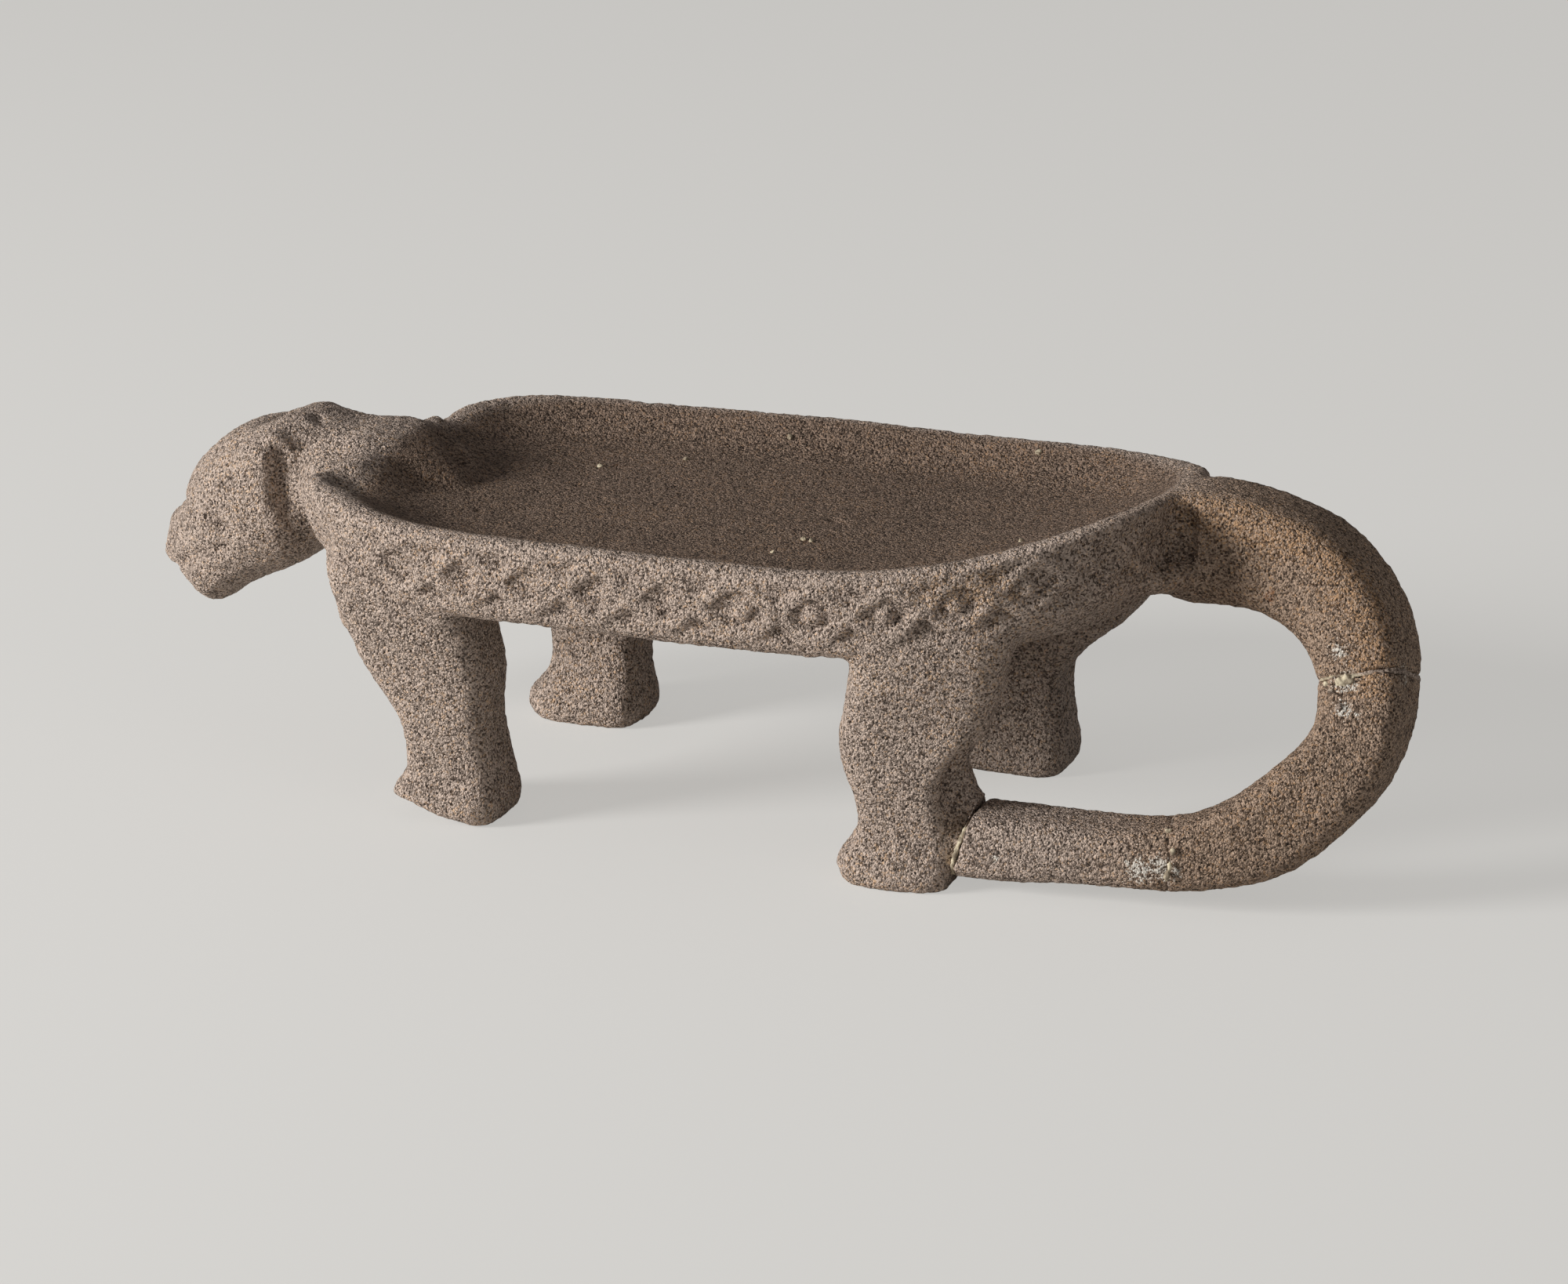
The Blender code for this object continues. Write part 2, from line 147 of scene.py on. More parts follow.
def addLump(work, centre, radii, axis=(0.0, 0.0, 1.0)):
    turn = Vector((0.0, 0.0, 1.0)).rotation_difference(Vector(axis))
    place = Matrix.Translation(centre) @ turn.to_matrix().to_4x4() @ Matrix.Diagonal((*radii, 1.0))
    bmesh.ops.create_icosphere(work, subdivisions=3, radius=1.0, matrix=place)


def joinInto(target, other):
    work = bmesh.new()
    work.from_mesh(target.data)
    work.from_mesh(other.data)
    work.to_mesh(target.data)
    work.free()
    bpy.data.objects.remove(other)


def bake(piece):
    graph = bpy.context.evaluated_depsgraph_get()
    graph.update()
    mesh = bpy.data.meshes.new_from_object(piece.evaluated_get(graph), depsgraph=graph)
    old = piece.data
    piece.modifiers.clear()
    if piece.type == "MESH":
        piece.data = mesh
        bpy.data.meshes.remove(old)
        return piece
    name = piece.name
    bpy.data.objects.remove(piece)
    return newObject(name, mesh)


def remesh(piece, voxel):
    step = piece.modifiers.new("skin", "REMESH")
    step.mode = "VOXEL"
    step.voxel_size = voxel
    step.adaptivity = 0.0
    return bake(piece)


def thin(piece, triangles):
    piece.data.calc_loop_triangles()
    step = piece.modifiers.new("thin", "DECIMATE")
    step.ratio = min(1.0, triangles / len(piece.data.loop_triangles))
    return bake(piece)


def readPoints(mesh):
    values = np.empty(len(mesh.vertices) * 3, np.float32)
    mesh.vertices.foreach_get("co", values)
    return values.reshape(-1, 3).astype(float)


def writePoints(mesh, points):
    mesh.vertices.foreach_set("co", points.astype(np.float32).ravel())
    mesh.update()


def readNormals(mesh):
    values = np.empty(len(mesh.vertices) * 3, np.float32)
    mesh.vertex_normals.foreach_get("vector", values)
    return values.reshape(-1, 3).astype(float)


def readEdges(mesh):
    values = np.empty(len(mesh.edges) * 2, np.int32)
    mesh.edges.foreach_get("vertices", values)
    return values.reshape(-1, 2)


def writeField(mesh, name, values):
    field = mesh.attributes.get(name) or mesh.attributes.new(name, "FLOAT", "POINT")
    field.data.foreach_set("value", np.clip(values, 0.0, 1.0).astype(np.float32))


def neighbourMean(edges, values):
    flat = values.reshape(len(values), -1)
    first, second = edges[:, 0], edges[:, 1]
    count = np.bincount(first, minlength=len(flat)) + np.bincount(second, minlength=len(flat))
    total = np.empty_like(flat)
    for column in range(flat.shape[1]):
        total[:, column] = np.bincount(first, flat[second, column], len(flat))
        total[:, column] += np.bincount(second, flat[first, column], len(flat))
    return (total / np.maximum(count, 1)[:, None]).reshape(values.shape)


def relax(piece, rounds, hollowsOnly=False, weight=None):
    mesh = piece.data
    points, edges = readPoints(mesh), readEdges(mesh)
    share = 0.5 if weight is None else 0.5 * weight[:, None]
    for turn in range(rounds):
        pull = neighbourMean(edges, points) - points
        if hollowsOnly:
            if turn % 3 == 0:
                writePoints(mesh, points)
                normals = readNormals(mesh)
            pull = np.where((pull * normals).sum(1)[:, None] > 0.0, pull, 0.0)
        points = points + share * pull
    writePoints(mesh, points)


def distanceToPath(points, path):
    nearest = np.full(len(points), 9.0)
    path = np.array(path, float)
    if len(path) == 1:
        return np.linalg.norm(points - path[0], axis=1)
    for start, end in zip(path[:-1], path[1:]):
        line = end - start
        share = np.clip(((points - start) @ line) / (line @ line), 0.0, 1.0)
        gap = np.linalg.norm(points - start - share[:, None] * line, axis=1)
        nearest = np.minimum(nearest, gap)
    return nearest


def mirrored(path):
    return [(x, -y, z) for x, y, z in path]


def press(piece, strokes):
    points, normals = readPoints(piece.data), readNormals(piece.data)
    for path, width, depth, *both in strokes:
        for line in [path, mirrored(path)] if both else [path]:
            near = np.exp(-(distanceToPath(points, line) / width) ** 2)
            points -= normals * (depth * near)[:, None]
    writePoints(piece.data, points)


def pulled(points, pulls):
    for centre, reach, move in pulls:
        gap = np.linalg.norm((points - np.array(centre)) / np.array(reach), axis=1)
        points = points + np.outer(1.0 - smooth(gap), move)
    return points


def grab(piece, pulls):
    writePoints(piece.data, pulled(readPoints(piece.data), pulls))


def onFloor(piece):
    points = readPoints(piece.data)
    points[:, 2] = np.maximum(points[:, 2], 0.0)
    writePoints(piece.data, points)


# Node work: a socket whose arithmetic adds Math nodes, and the tree that makes the nodes
class Sock:
    def __init__(self, tree, socket):
        self.tree = tree
        self.socket = socket

    def math(self, operation, first, second=0.0):
        return self.tree.node("ShaderNodeMath", {"operation": operation}, {0: first, 1: second})

    def __add__(self, other):
        return self.math("ADD", self, other)

    def __radd__(self, other):
        return self.math("ADD", other, self)

    def __sub__(self, other):
        return self.math("SUBTRACT", self, other)

    def __rsub__(self, other):
        return self.math("SUBTRACT", other, self)

    def __mul__(self, other):
        return self.math("MULTIPLY", self, other)

    def __rmul__(self, other):
        return self.math("MULTIPLY", other, self)

    def __truediv__(self, other):
        return self.math("DIVIDE", self, other)

    def __rtruediv__(self, other):
        return self.math("DIVIDE", other, self)

    def most(self, other):
        return self.math("MAXIMUM", self, other)

    def ramp(self, low, high):
        sockets = {"Value": self, "From Min": low, "From Max": high}
        return self.tree.node("ShaderNodeMapRange", {"interpolation_type": "SMOOTHSTEP"}, sockets)


class Tree:
    def __init__(self, nodes):
        self.nodes = nodes.nodes
        self.links = nodes.links

    def node(self, kind, settings=None, sockets=None, out=0):
        made = self.nodes.new(kind)
        for key, value in (settings or {}).items():
            setattr(made, key, value)
        for key, value in (sockets or {}).items():
            if isinstance(value, Sock):
                self.links.new(value.socket, made.inputs[key])
            else:
                made.inputs[key].default_value = value
        return Sock(self, made.outputs[out]) if len(made.outputs) else made

    def other(self, sock, out):
        return Sock(self, sock.socket.node.outputs[out])

    def mixColor(self, factor, first, second, blend="MIX"):
        settings = {"data_type": "RGBA", "blend_type": blend}
        return self.node("ShaderNodeMix", settings, {0: factor, 6: first, 7: second}, 2)

    def vector(self, operation, first, second):
        return self.node("ShaderNodeVectorMath", {"operation": operation}, {0: first, 1: second})

    def scaled(self, first, amount):
        return self.node("ShaderNodeVectorMath", {"operation": "SCALE"}, {0: first, "Scale": amount})

    def chance(self, cells, part="X"):
        # a random number for each cell
        return self.node("ShaderNodeSeparateXYZ", None, {0: self.other(cells, "Color")}, part)


class Growth(Tree):
    # a Geometry Nodes tree with named inputs
    def __init__(self, name, inputs):
        self.group = bpy.data.node_groups.new(name, "GeometryNodeTree")
        super().__init__(self.group)
        self.group.interface.new_socket("Geometry", in_out="INPUT", socket_type="NodeSocketGeometry")
        self.group.interface.new_socket("Geometry", in_out="OUTPUT", socket_type="NodeSocketGeometry")
        for key in inputs:
            self.group.interface.new_socket(key, in_out="INPUT", socket_type="NodeSocketFloat")
        self.start = self.nodes.new("NodeGroupInput")

    def input(self, name):
        return Sock(self, self.start.outputs[name])

    def end(self, geometry, material):
        solid = self.node("GeometryNodeRealizeInstances", None, {0: geometry})
        coated = self.node("GeometryNodeSetMaterial", None, {0: solid, "Material": material})
        self.node("NodeGroupOutput", None, {0: coated})

    def apply(self, piece, values):
        step = piece.modifiers.new(self.group.name, "NODES")
        step.node_group = self.group
        for item in self.group.interface.items_tree:
            if item.in_out == "INPUT" and item.name in values:
                step[item.identifier] = float(values[item.name])
        return bake(piece)


class Shade(Tree):
    # a material whose varying channels feed one Principled shader
    def __init__(self, name):
        self.material = bpy.data.materials.new(name)
        self.material.use_nodes = True
        super().__init__(self.material.node_tree)
        self.shader = self.nodes["Principled BSDF"]

    def feed(self, key, value):
        if isinstance(value, Sock):
            self.links.new(value.socket, self.shader.inputs[key])
        else:
            self.shader.inputs[key].default_value = value


def linear(red, green, blue):
    parts = [part / 255.0 for part in (red, green, blue)]
    return tuple(p / 12.92 if p < 0.04045 else ((p + 0.055) / 1.055) ** 2.4 for p in parts) + (1.0,)


# Materials
stoneLook = {
    "dark": linear(68, 55, 46),
    "light": linear(214, 193, 177),
    "pore": linear(36, 28, 23),
    "ochre": (1.14, 0.94, 0.68, 1.0),
    "rust": linear(150, 92, 52),
    "chalk": linear(234, 228, 216),
    "brown": linear(230, 220, 208),
    "dishWearAndShadeTone": linear(194, 184, 175),
    "grain": 0.0006,
    "poreSize": 0.0014,
    "fleck": 0.0012,
    "ridge": 0.0022,
    "patch": 0.005,
    "mottle": 0.03,
    "tone": {
        "base": 0.57, "grit": 0.85, "fleck": 0.3, "patch": 0.18,
        "mottle": 0.2, "edge": 0.12, "hollowDirtAndShade": 0.1,
    },
    "ochreShare": 0.75,
    "rustShare": 0.55,
    "poreShare": 0.75,
    "hollowDirtAndShadeShare": 0.08,
    "chalkShare": 0.85,
    "roughness": 0.92,
    "polish": 0.1,
    "specular": 0.22,
    "relief": {"fleck": 1.5, "ridge": 1.1, "grain": 0.55, "pore": 0.8},
    "reliefDepth": 0.0011,
}


def stoneMaterial(look):
    shade = Shade("volcanic_stone")
    place = shade.node("ShaderNodeTexCoord", None, None, "Object")

    def noise(size, detail, roughness=0.55):
        sockets = {"Vector": place, "Scale": 1.0 / size, "Detail": detail, "Roughness": roughness}
        return shade.node("ShaderNodeTexNoise", None, sockets)

    def cells(size):
        return shade.node("ShaderNodeTexVoronoi", None, {"Vector": place, "Scale": 1.0 / size})

    def field(name):
        return shade.node("ShaderNodeAttribute", {"attribute_name": name}, None, "Fac")

    grain, pores = cells(look["grain"]), cells(look["poreSize"])
    fleck, ridge = noise(look["fleck"], 2.0, 0.6), noise(look["ridge"], 3.0, 0.6)
    patch, mottle = noise(look["patch"], 3.0), noise(look["mottle"], 3.0)
    hollowDirtAndShade, edge, dish = field("hollowDirtAndShade"), field("edge"), field("dish")
    grit = shade.chance(grain) - 0.5
    share = look["tone"]
    tone = share["base"] + grit * share["grit"] + (fleck - 0.5) * share["fleck"]
    tone = tone + (patch - 0.5) * share["patch"] + (mottle - 0.5) * share["mottle"]
    # convex edges come out lighter; hollows come out darker, partly as dirt and partly as painted shade
    tone = tone + edge * share["edge"] - hollowDirtAndShade * share["hollowDirtAndShade"]
    colour = shade.mixColor(tone.ramp(0.0, 1.0), look["dark"], look["light"])
    warm = ((mottle - 0.5) * 0.8 + (patch - 0.5) * 0.6 + field("ochre") * 0.8).ramp(-0.1, 0.6)
    ochred = shade.mixColor(1.0, colour, look["ochre"], "MULTIPLY")
    rare = (shade.chance(grain, "Y") + warm * 0.5).ramp(0.84, 1.04)
    colour = shade.mixColor(rare * look["ochreShare"], colour, ochred)
    browned = shade.mixColor(1.0, colour, look["brown"], "MULTIPLY")
    colour = shade.mixColor(field("tail"), colour, browned)
    # the dish is darker: partly worn and dirty, partly painted shade
    dishWornAndShaded = shade.mixColor(1.0, colour, look["dishWearAndShadeTone"], "MULTIPLY")
    colour = shade.mixColor(dish, colour, dishWornAndShaded)
    rustMask = (field("rust") + (fleck - 0.5) * 1.2 + (patch - 0.5) * 1.2).ramp(0.45, 0.95)
    colour = shade.mixColor(rustMask * look["rustShare"], colour, look["rust"])
    poreMask = (1.0 - pores.ramp(0.16, 0.36)) * shade.chance(pores).ramp(0.62, 0.76)
    # hollows also take the pore colour: dirt and painted shade in creases and grooves
    poreTone = (poreMask * look["poreShare"]).most(hollowDirtAndShade * look["hollowDirtAndShadeShare"])
    colour = shade.mixColor(poreTone, colour, look["pore"])
    chalkMask = (field("chalk") + grit * 0.7 + (fleck - 0.5) * 1.2).ramp(0.5, 0.8)
    colour = shade.mixColor(chalkMask * look["chalkShare"], colour, look["chalk"])
    shade.feed("Base Color", colour)
    shade.feed("Roughness", look["roughness"] - dish * look["polish"])
    shade.feed("Specular IOR Level", look["specular"])
    share = look["relief"]
    height = fleck * share["fleck"] + ridge * share["ridge"]
    height = height - grain * share["grain"] - poreMask * share["pore"]
    sockets = {"Strength": 1.0, "Distance": look["reliefDepth"], "Height": height}
    shade.feed("Normal", shade.node("ShaderNodeBump", None, sockets))
    return shade.material


fillerLook = {
    "pale": linear(226, 212, 182),
    "dirt": linear(112, 96, 80),
    "tonedDark": linear(78, 64, 54),
    "tonedLight": linear(190, 170, 154),
    "patch": 0.0034,
    "crumb": 0.0011,
    "grain": 0.0006,
    "dirtShare": 0.8,
    "roughness": 0.88,
    "specular": 0.25,
    "reliefDepth": 0.0005,
}


def fillerMaterial(look):
    shade = Shade("mend_filler")
    place = shade.node("ShaderNodeTexCoord", None, None, "Object")
    sockets = {"Vector": place, "Scale": 1.0 / look["patch"], "Detail": 5.0, "Roughness": 0.62}
    patch = shade.node("ShaderNodeTexNoise", None, sockets)
    crumb = shade.node("ShaderNodeTexVoronoi", None, {"Vector": place, "Scale": 1.0 / look["crumb"]})
    dirt = (0.6 - patch).ramp(0.0, 0.2)
    colour = shade.mixColor(dirt * look["dirtShare"], look["pale"], look["dirt"])
    grain = shade.node("ShaderNodeTexVoronoi", None, {"Vector": place, "Scale": 1.0 / look["grain"]})
    matched = shade.mixColor(shade.chance(grain), look["tonedDark"], look["tonedLight"])
    toned = shade.node("ShaderNodeAttribute", {"attribute_name": "toned"}, None, "Fac")
    share = (toned + (patch - 0.5) * 0.8).ramp(0.3, 0.7)
    shade.feed("Base Color", shade.mixColor(share, colour, matched))
    shade.feed("Roughness", look["roughness"])
    shade.feed("Specular IOR Level", look["specular"])
    sockets = {"Strength": 0.5, "Distance": look["reliefDepth"], "Height": patch - crumb * 0.4}
    shade.feed("Normal", shade.node("ShaderNodeBump", None, sockets))
    return shade.material


stone = stoneMaterial(stoneLook)
filler = fillerMaterial(fillerLook)
print("materials done")


# Masks for the stone's material: lime smears, rust, ochre edges, the worn dish (darkened partly by wear
# and dirt, partly as painted shade), the browner tail.
# A spot has a centre, a reach and a strength; a trail has a path in place of the centre.
chalkSpots = [
    ((0.2068, -0.0333, 0.0853), 0.0065, 0.72),
    ((0.2105, -0.0372, 0.0765), 0.009, 0.64),
    ((0.2105, -0.0412, 0.0688), 0.0055, 0.85),
    ((0.2151, -0.0419, 0.0676), 0.003, 0.7),
    ((0.2283, -0.028, 0.079), 0.008, 0.66),
    ((0.1525, -0.069, 0.016), 0.0095, 0.74),
    ((0.1595, -0.0683, 0.0172), 0.0075, 0.8),
    ((0.164, -0.0673, 0.016), 0.005, 0.7),
    ((0.16, -0.063, 0.027), 0.003, 0.6),
    ((0.1051, -0.0721, 0.0145), 0.003, 0.75),
    ((0.0667, -0.0763, 0.0015), 0.004, 0.6),
]
rustSpots = [
    ((-0.094, -0.079, 0.063), 0.008, 0.5),
    ((0.181, -0.024, 0.098), 0.006, 0.75),
    ((-0.075, 0.0385, 0.099), 0.004, 0.9),
]
ochreTrails = [
    (
        [
            (0.1513, -0.017, 0.1235), (0.1686, -0.0197, 0.1208), (0.1855, -0.0222, 0.1181),
            (0.199, -0.024, 0.1134), (0.2096, -0.0262, 0.1061), (0.216, -0.0297, 0.0973),
            (0.2179, -0.0339, 0.0878), (0.2186, -0.0371, 0.0789),
        ],
        0.0065, 1.0,
    ),
    ([(0.086, -0.081, 0.107), (0.102, -0.074, 0.108)], 0.008, 0.8),
]

dishMask = {"rim": 0.955, "rimRun": 0.05, "facing": 0.15, "facingRun": 0.5, "low": 0.093}
bendMask = {"rounds": 6, "most": 0.00018}
tailMask = {"start": 0.12, "run": 0.05}


def spotField(points, spots):
    field = np.zeros(len(points))
    for centre, reach, strength in spots:
        gap = np.linalg.norm(points - np.array(centre), axis=1)
        field = np.maximum(field, strength * (1.0 - smooth(gap / reach)))
    return field


def trailField(points, trails):
    field = np.zeros(len(points))
    for path, reach, strength in trails:
        near = np.exp(-(distanceToPath(points, path) / reach) ** 2)
        field = np.maximum(field, strength * near)
    return field


def dishField(points, normals):
    inside = smooth((dishMask["rim"] - rimShare(points)) / dishMask["rimRun"])
    facingUp = smooth((normals[:, 2] - dishMask["facing"]) / dishMask["facingRun"])
    return inside * facingUp * (points[:, 2] > dishMask["low"])


def paint(piece):
    mesh = piece.data
    points, normals, edges = readPoints(mesh), readNormals(mesh), readEdges(mesh)
    bend = ((neighbourMean(edges, points) - points) * normals).sum(1)
    for turn in range(bendMask["rounds"]):
        bend = 0.5 * bend + 0.5 * neighbourMean(edges, bend)
    # concave hollows, read by the material as darkening that is partly dirt and partly painted shade
    writeField(mesh, "hollowDirtAndShade", bend / bendMask["most"])
    writeField(mesh, "edge", -bend / bendMask["most"])
    writeField(mesh, "dish", dishField(points, normals))
    writeField(mesh, "tail", smooth((points[:, 0] - tailMask["start"]) / tailMask["run"]))
    writeField(mesh, "ochre", trailField(points, ochreTrails))
    writeField(mesh, "chalk", spotField(points, chalkSpots))
    writeField(mesh, "rust", spotField(points, rustSpots))


# Weathering that follows every stone surface
weather = {
    "Swell Size": 0.017,
    "Swell Height": 0.00045,
    "Peck Size": 0.0026,
    "Peck Height": 0.0007,
    "Pit Spacing": 0.0075,
    "Pit Share": 0.4,
    "Pit Depth": 0.00055,
}
pitShape = {"drawn": (0.62, 0.62, 1.0), "core": 0.06, "edge": 0.3, "choice": 0.05}
polishedShare = 0.55


def weatherTree(name, material):
    grow = Growth(name, weather)
    place = grow.node("GeometryNodeInputPosition")
    normal = grow.node("GeometryNodeInputNormal")
    polish = grow.node("GeometryNodeInputNamedAttribute", {"data_type": "FLOAT"}, {"Name": "dish"})

    def noise(size, detail):
        sockets = {"Vector": place, "Scale": 1.0 / size, "Detail": detail}
        return grow.node("ShaderNodeTexNoise", None, sockets) - 0.5

    drawn = grow.vector("MULTIPLY", place, pitShape["drawn"])
    sockets = {"Vector": drawn, "Scale": 1.0 / grow.input("Pit Spacing")}
    pits = grow.node("ShaderNodeTexVoronoi", None, sockets)
    chosen = (grow.input("Pit Share") - grow.chance(pits)).ramp(0.0, pitShape["choice"])
    pitMask = (1.0 - pits.ramp(pitShape["core"], pitShape["edge"])) * chosen
    rough = noise(grow.input("Peck Size"), 3.0) * 2.0 * grow.input("Peck Height")
    rough = rough * (1.0 - polish * polishedShare)
    move = noise(grow.input("Swell Size"), 1.0) * 2.0 * grow.input("Swell Height") + rough
    move = move - pitMask * grow.input("Pit Depth")
    sockets = {0: grow.input("Geometry"), "Offset": grow.scaled(normal, move)}
    grow.end(grow.node("GeometryNodeSetPosition", None, sockets), material)
    return grow


stoneWeather = weatherTree("stone_weather", stone)

# Pulls on every piece of the tail, tighter at its bend and thinner at its tip than the solids:
# centre, reach and move
tailPulls = [
    ((0.2315, -0.035, 0.062), (0.05, 0.05, 0.06), (-0.0015, 0.0, 0.0)),
    ((0.192, -0.052, 0.042), (0.038, 0.04, 0.024), (-0.0022, 0.0, 0.0024)),
    ((0.234, -0.035, 0.055), (0.026, 0.05, 0.045), (-0.002, 0.0, 0.0)),
    ((0.206, -0.052, 0.034), (0.042, 0.05, 0.036), (-0.0026, 0.0, 0.0036)),
    ((0.17, -0.066, 0.014), (0.036, 0.05, 0.045), (0.0, 0.0, 0.002)),
    ((0.14, -0.066, 0.001), (0.04, 0.04, 0.022), (0.0, 0.0, 0.0026)),
    ((0.136, -0.056, 0.031), (0.04, 0.034, 0.014), (0.0, 0.0, -0.0015)),
    ((0.188, -0.026, 0.083), (0.03, 0.044, 0.024), (0.003, 0.0, 0.0038)),
    ((0.174, -0.022, 0.088), (0.02, 0.04, 0.018), (0.0, 0.0, 0.0014)),
    ((0.179, -0.061, 0.027), (0.024, 0.045, 0.036), (0.0, 0.0, 0.0024)),
]

# Carved block: plate, head, legs and the root of the tail as one skin
body = {
    "nodes": [
        "grinding_plate", "head", "front_left_leg", "front_right_leg",
        "hind_left_leg", "hind_right_leg", "tail_root",
    ],
    "swell": 0.00045,
    "roughVoxel": 0.0015,
    "voxel": 0.0009,
    "triangles": 194000,
    "filletRounds": 40,
    "filletLow": 0.064,
    "filletFade": 0.012,
    "headEnd": -0.172,
    "headFade": 0.022,
    "legFillet": 0.1,
    "neckEnd": -0.118,
    "tailStart": 0.112,
    "tailHalf": 0.04,
    "web": (0.092, -0.057, 0.03),
    "webReach": 0.022,
    "dishSpared": 0.6,
    "turns": {
        "hind_left_leg": {
            "sole": (0.07, -0.0595, 0.0),
            "hip": (0.083, -0.0665, 0.08),
            "width": 0.97,
            "soleAngle": 4.0,
            "hipAngle": 14.0,
            "hipMove": (0.0, 0.0032, 0.0),
        },
    },
}
# Lumps joined to the block: centre, radii and the axis of one that leans
bodyLumps = [
    # stub of the tail behind the near hind foot, and its web
    ((0.0975, -0.0575, 0.0165), (0.018, 0.0128, 0.0122)),
    ((0.087, -0.057, 0.034), (0.0055, 0.008, 0.0125), (-0.45, 0.0, 1.0)),
    # near side of the neck, down to the shoulder
    ((-0.164, -0.016, 0.0985), (0.0095, 0.0095, 0.013)),
    ((-0.1578, -0.0228, 0.098), (0.0095, 0.0095, 0.014)),
    ((-0.1508, -0.0318, 0.097), (0.0095, 0.0095, 0.014)),
    ((-0.144, -0.041, 0.0945), (0.0095, 0.011, 0.0135)),
    ((-0.1345, -0.048, 0.0835), (0.009, 0.017, 0.013)),
    ((-0.1265, -0.056, 0.072), (0.009, 0.016, 0.013)),
    # far side of the neck
    ((-0.1508, 0.0318, 0.095), (0.0095, 0.0095, 0.014)),
    ((-0.144, 0.041, 0.0925), (0.0095, 0.011, 0.0135)),
    ((-0.1345, 0.048, 0.0835), (0.009, 0.017, 0.013)),
    ((-0.1265, 0.056, 0.072), (0.009, 0.016, 0.013)),
    # nub on the far rim, and the ears
    ((-0.1405, 0.0275, 0.1125), (0.005, 0.0048, 0.0042)),
    ((-0.185, -0.0235, 0.1075), (0.0085, 0.0062, 0.0068)),
    ((-0.1795, 0.0185, 0.1087), (0.0125, 0.008, 0.0095)),
    # under the root of the tail
    ((0.138, -0.012, 0.0996), (0.02, 0.022, 0.0068)),
]
# Pulls on the block: centre, reach and move
bodyPulls = [
    # far side of the neck worn lower than the near side
    ((-0.147, 0.03, 0.112), (0.028, 0.028, 0.02), (0.0, 0.0, -0.003)),
    # near front corner of the rim drawn out over the shoulder
    ((-0.143, -0.052, 0.11), (0.028, 0.034, 0.024), (-0.0085, 0.0, -0.0005)),
    # top of the neck and crown worn down
    ((-0.154, 0.002, 0.119), (0.022, 0.03, 0.014), (0.0, 0.0, -0.0034)),
    ((-0.187, 0.002, 0.118), (0.014, 0.02, 0.012), (0.0, 0.0, -0.0034)),
    # far rim
    ((0.085, 0.078, 0.112), (0.06, 0.03, 0.02), (0.0, 0.0, 0.0015)),
    ((-0.11, 0.08, 0.112), (0.05, 0.03, 0.02), (0.0, 0.0, 0.0014)),
    ((-0.01, 0.088, 0.11), (0.11, 0.03, 0.02), (0.0, 0.0, 0.0016)),
    # toes, shin and soles
    ((-0.116, -0.062, 0.011), (0.015, 0.03, 0.011), (0.003, 0.0, 0.0046)),
    ((-0.114, -0.064, 0.0), (0.02, 0.034, 0.008), (0.0015, 0.0, 0.005)),
    ((-0.107, -0.076, 0.0), (0.032, 0.022, 0.013), (0.0, 0.0, 0.005)),
    ((-0.112, 0.054, 0.009), (0.018, 0.026, 0.018), (-0.0052, 0.0, 0.0)),
    ((-0.112, -0.066, 0.034), (0.016, 0.034, 0.026), (0.002, 0.0, 0.0)),
    ((0.07, -0.077, 0.0), (0.034, 0.016, 0.016), (0.0, -0.0024, 0.0)),
    # front of the near hind leg
    ((0.049, -0.068, 0.01), (0.018, 0.03, 0.014), (-0.0022, 0.0, 0.0)),
    ((0.052, -0.07, 0.042), (0.02, 0.03, 0.022), (-0.0026, 0.0, 0.0)),
    # shoulder, far thigh and root of the tail
    ((-0.126, -0.068, 0.06), (0.02, 0.03, 0.026), (-0.0008, 0.0, 0.0)),
    ((0.108, 0.066, 0.068), (0.024, 0.03, 0.026), (0.0055, 0.0, 0.0)),
    ((0.172, -0.02, 0.092), (0.04, 0.034, 0.018), (0.0, 0.0, 0.0024)),
    ((0.168, 0.004, 0.124), (0.05, 0.04, 0.018), (0.0, 0.0, -0.0013)),
    # forehead
    ((-0.2175, -0.004, 0.096), (0.014, 0.022, 0.016), (-0.0016, 0.0, 0.0004)),
    # nose, lip and chin
    ((-0.229, 0.0, 0.076), (0.011, 0.014, 0.0075), (-0.0038, 0.0, 0.0012)),
    ((-0.23, 0.0, 0.0632), (0.008, 0.014, 0.0048), (-0.0022, 0.0, 0.0)),
    ((-0.214, 0.0, 0.05), (0.012, 0.02, 0.01), (0.0, 0.0, -0.0008)),
]


def around(points, centre, reach):
    return 1.0 - smooth(np.linalg.norm(points - np.array(centre), axis=1) / reach)


def aroundBoth(points, centres, reach):
    return np.max([around(points, centre, reach) for centre in centres + mirrored(centres)], axis=0)


def filletWeight(points, normals):
    x, y, z = points.T
    fade = body["filletFade"]
    high = smooth((z - body["filletLow"]) / fade) * smooth((x - body["headEnd"]) / body["headFade"])
    neck = smooth((body["neckEnd"] - x) / fade)
    tail = smooth((x - body["tailStart"]) / fade) * smooth((body["tailHalf"] - np.abs(y)) / fade)
    share = np.maximum(body["legFillet"], np.maximum(neck, tail))
    web = around(points, body["web"], body["webReach"])
    spared = body["dishSpared"] * dishField(points, normals)
    return np.maximum(high * share * (1.0 - spared), web)


carved = joinedCopy("carved_body", body["nodes"], body["swell"], bodyLumps, body["turns"])
carved = remesh(carved, body["roughVoxel"])
weight = filletWeight(readPoints(carved.data), readNormals(carved.data))
relax(carved, body["filletRounds"], hollowsOnly=True, weight=weight)
relax(carved, 3)
grab(carved, bodyPulls + tailPulls)
print("carved body roughed out", len(carved.data.vertices))

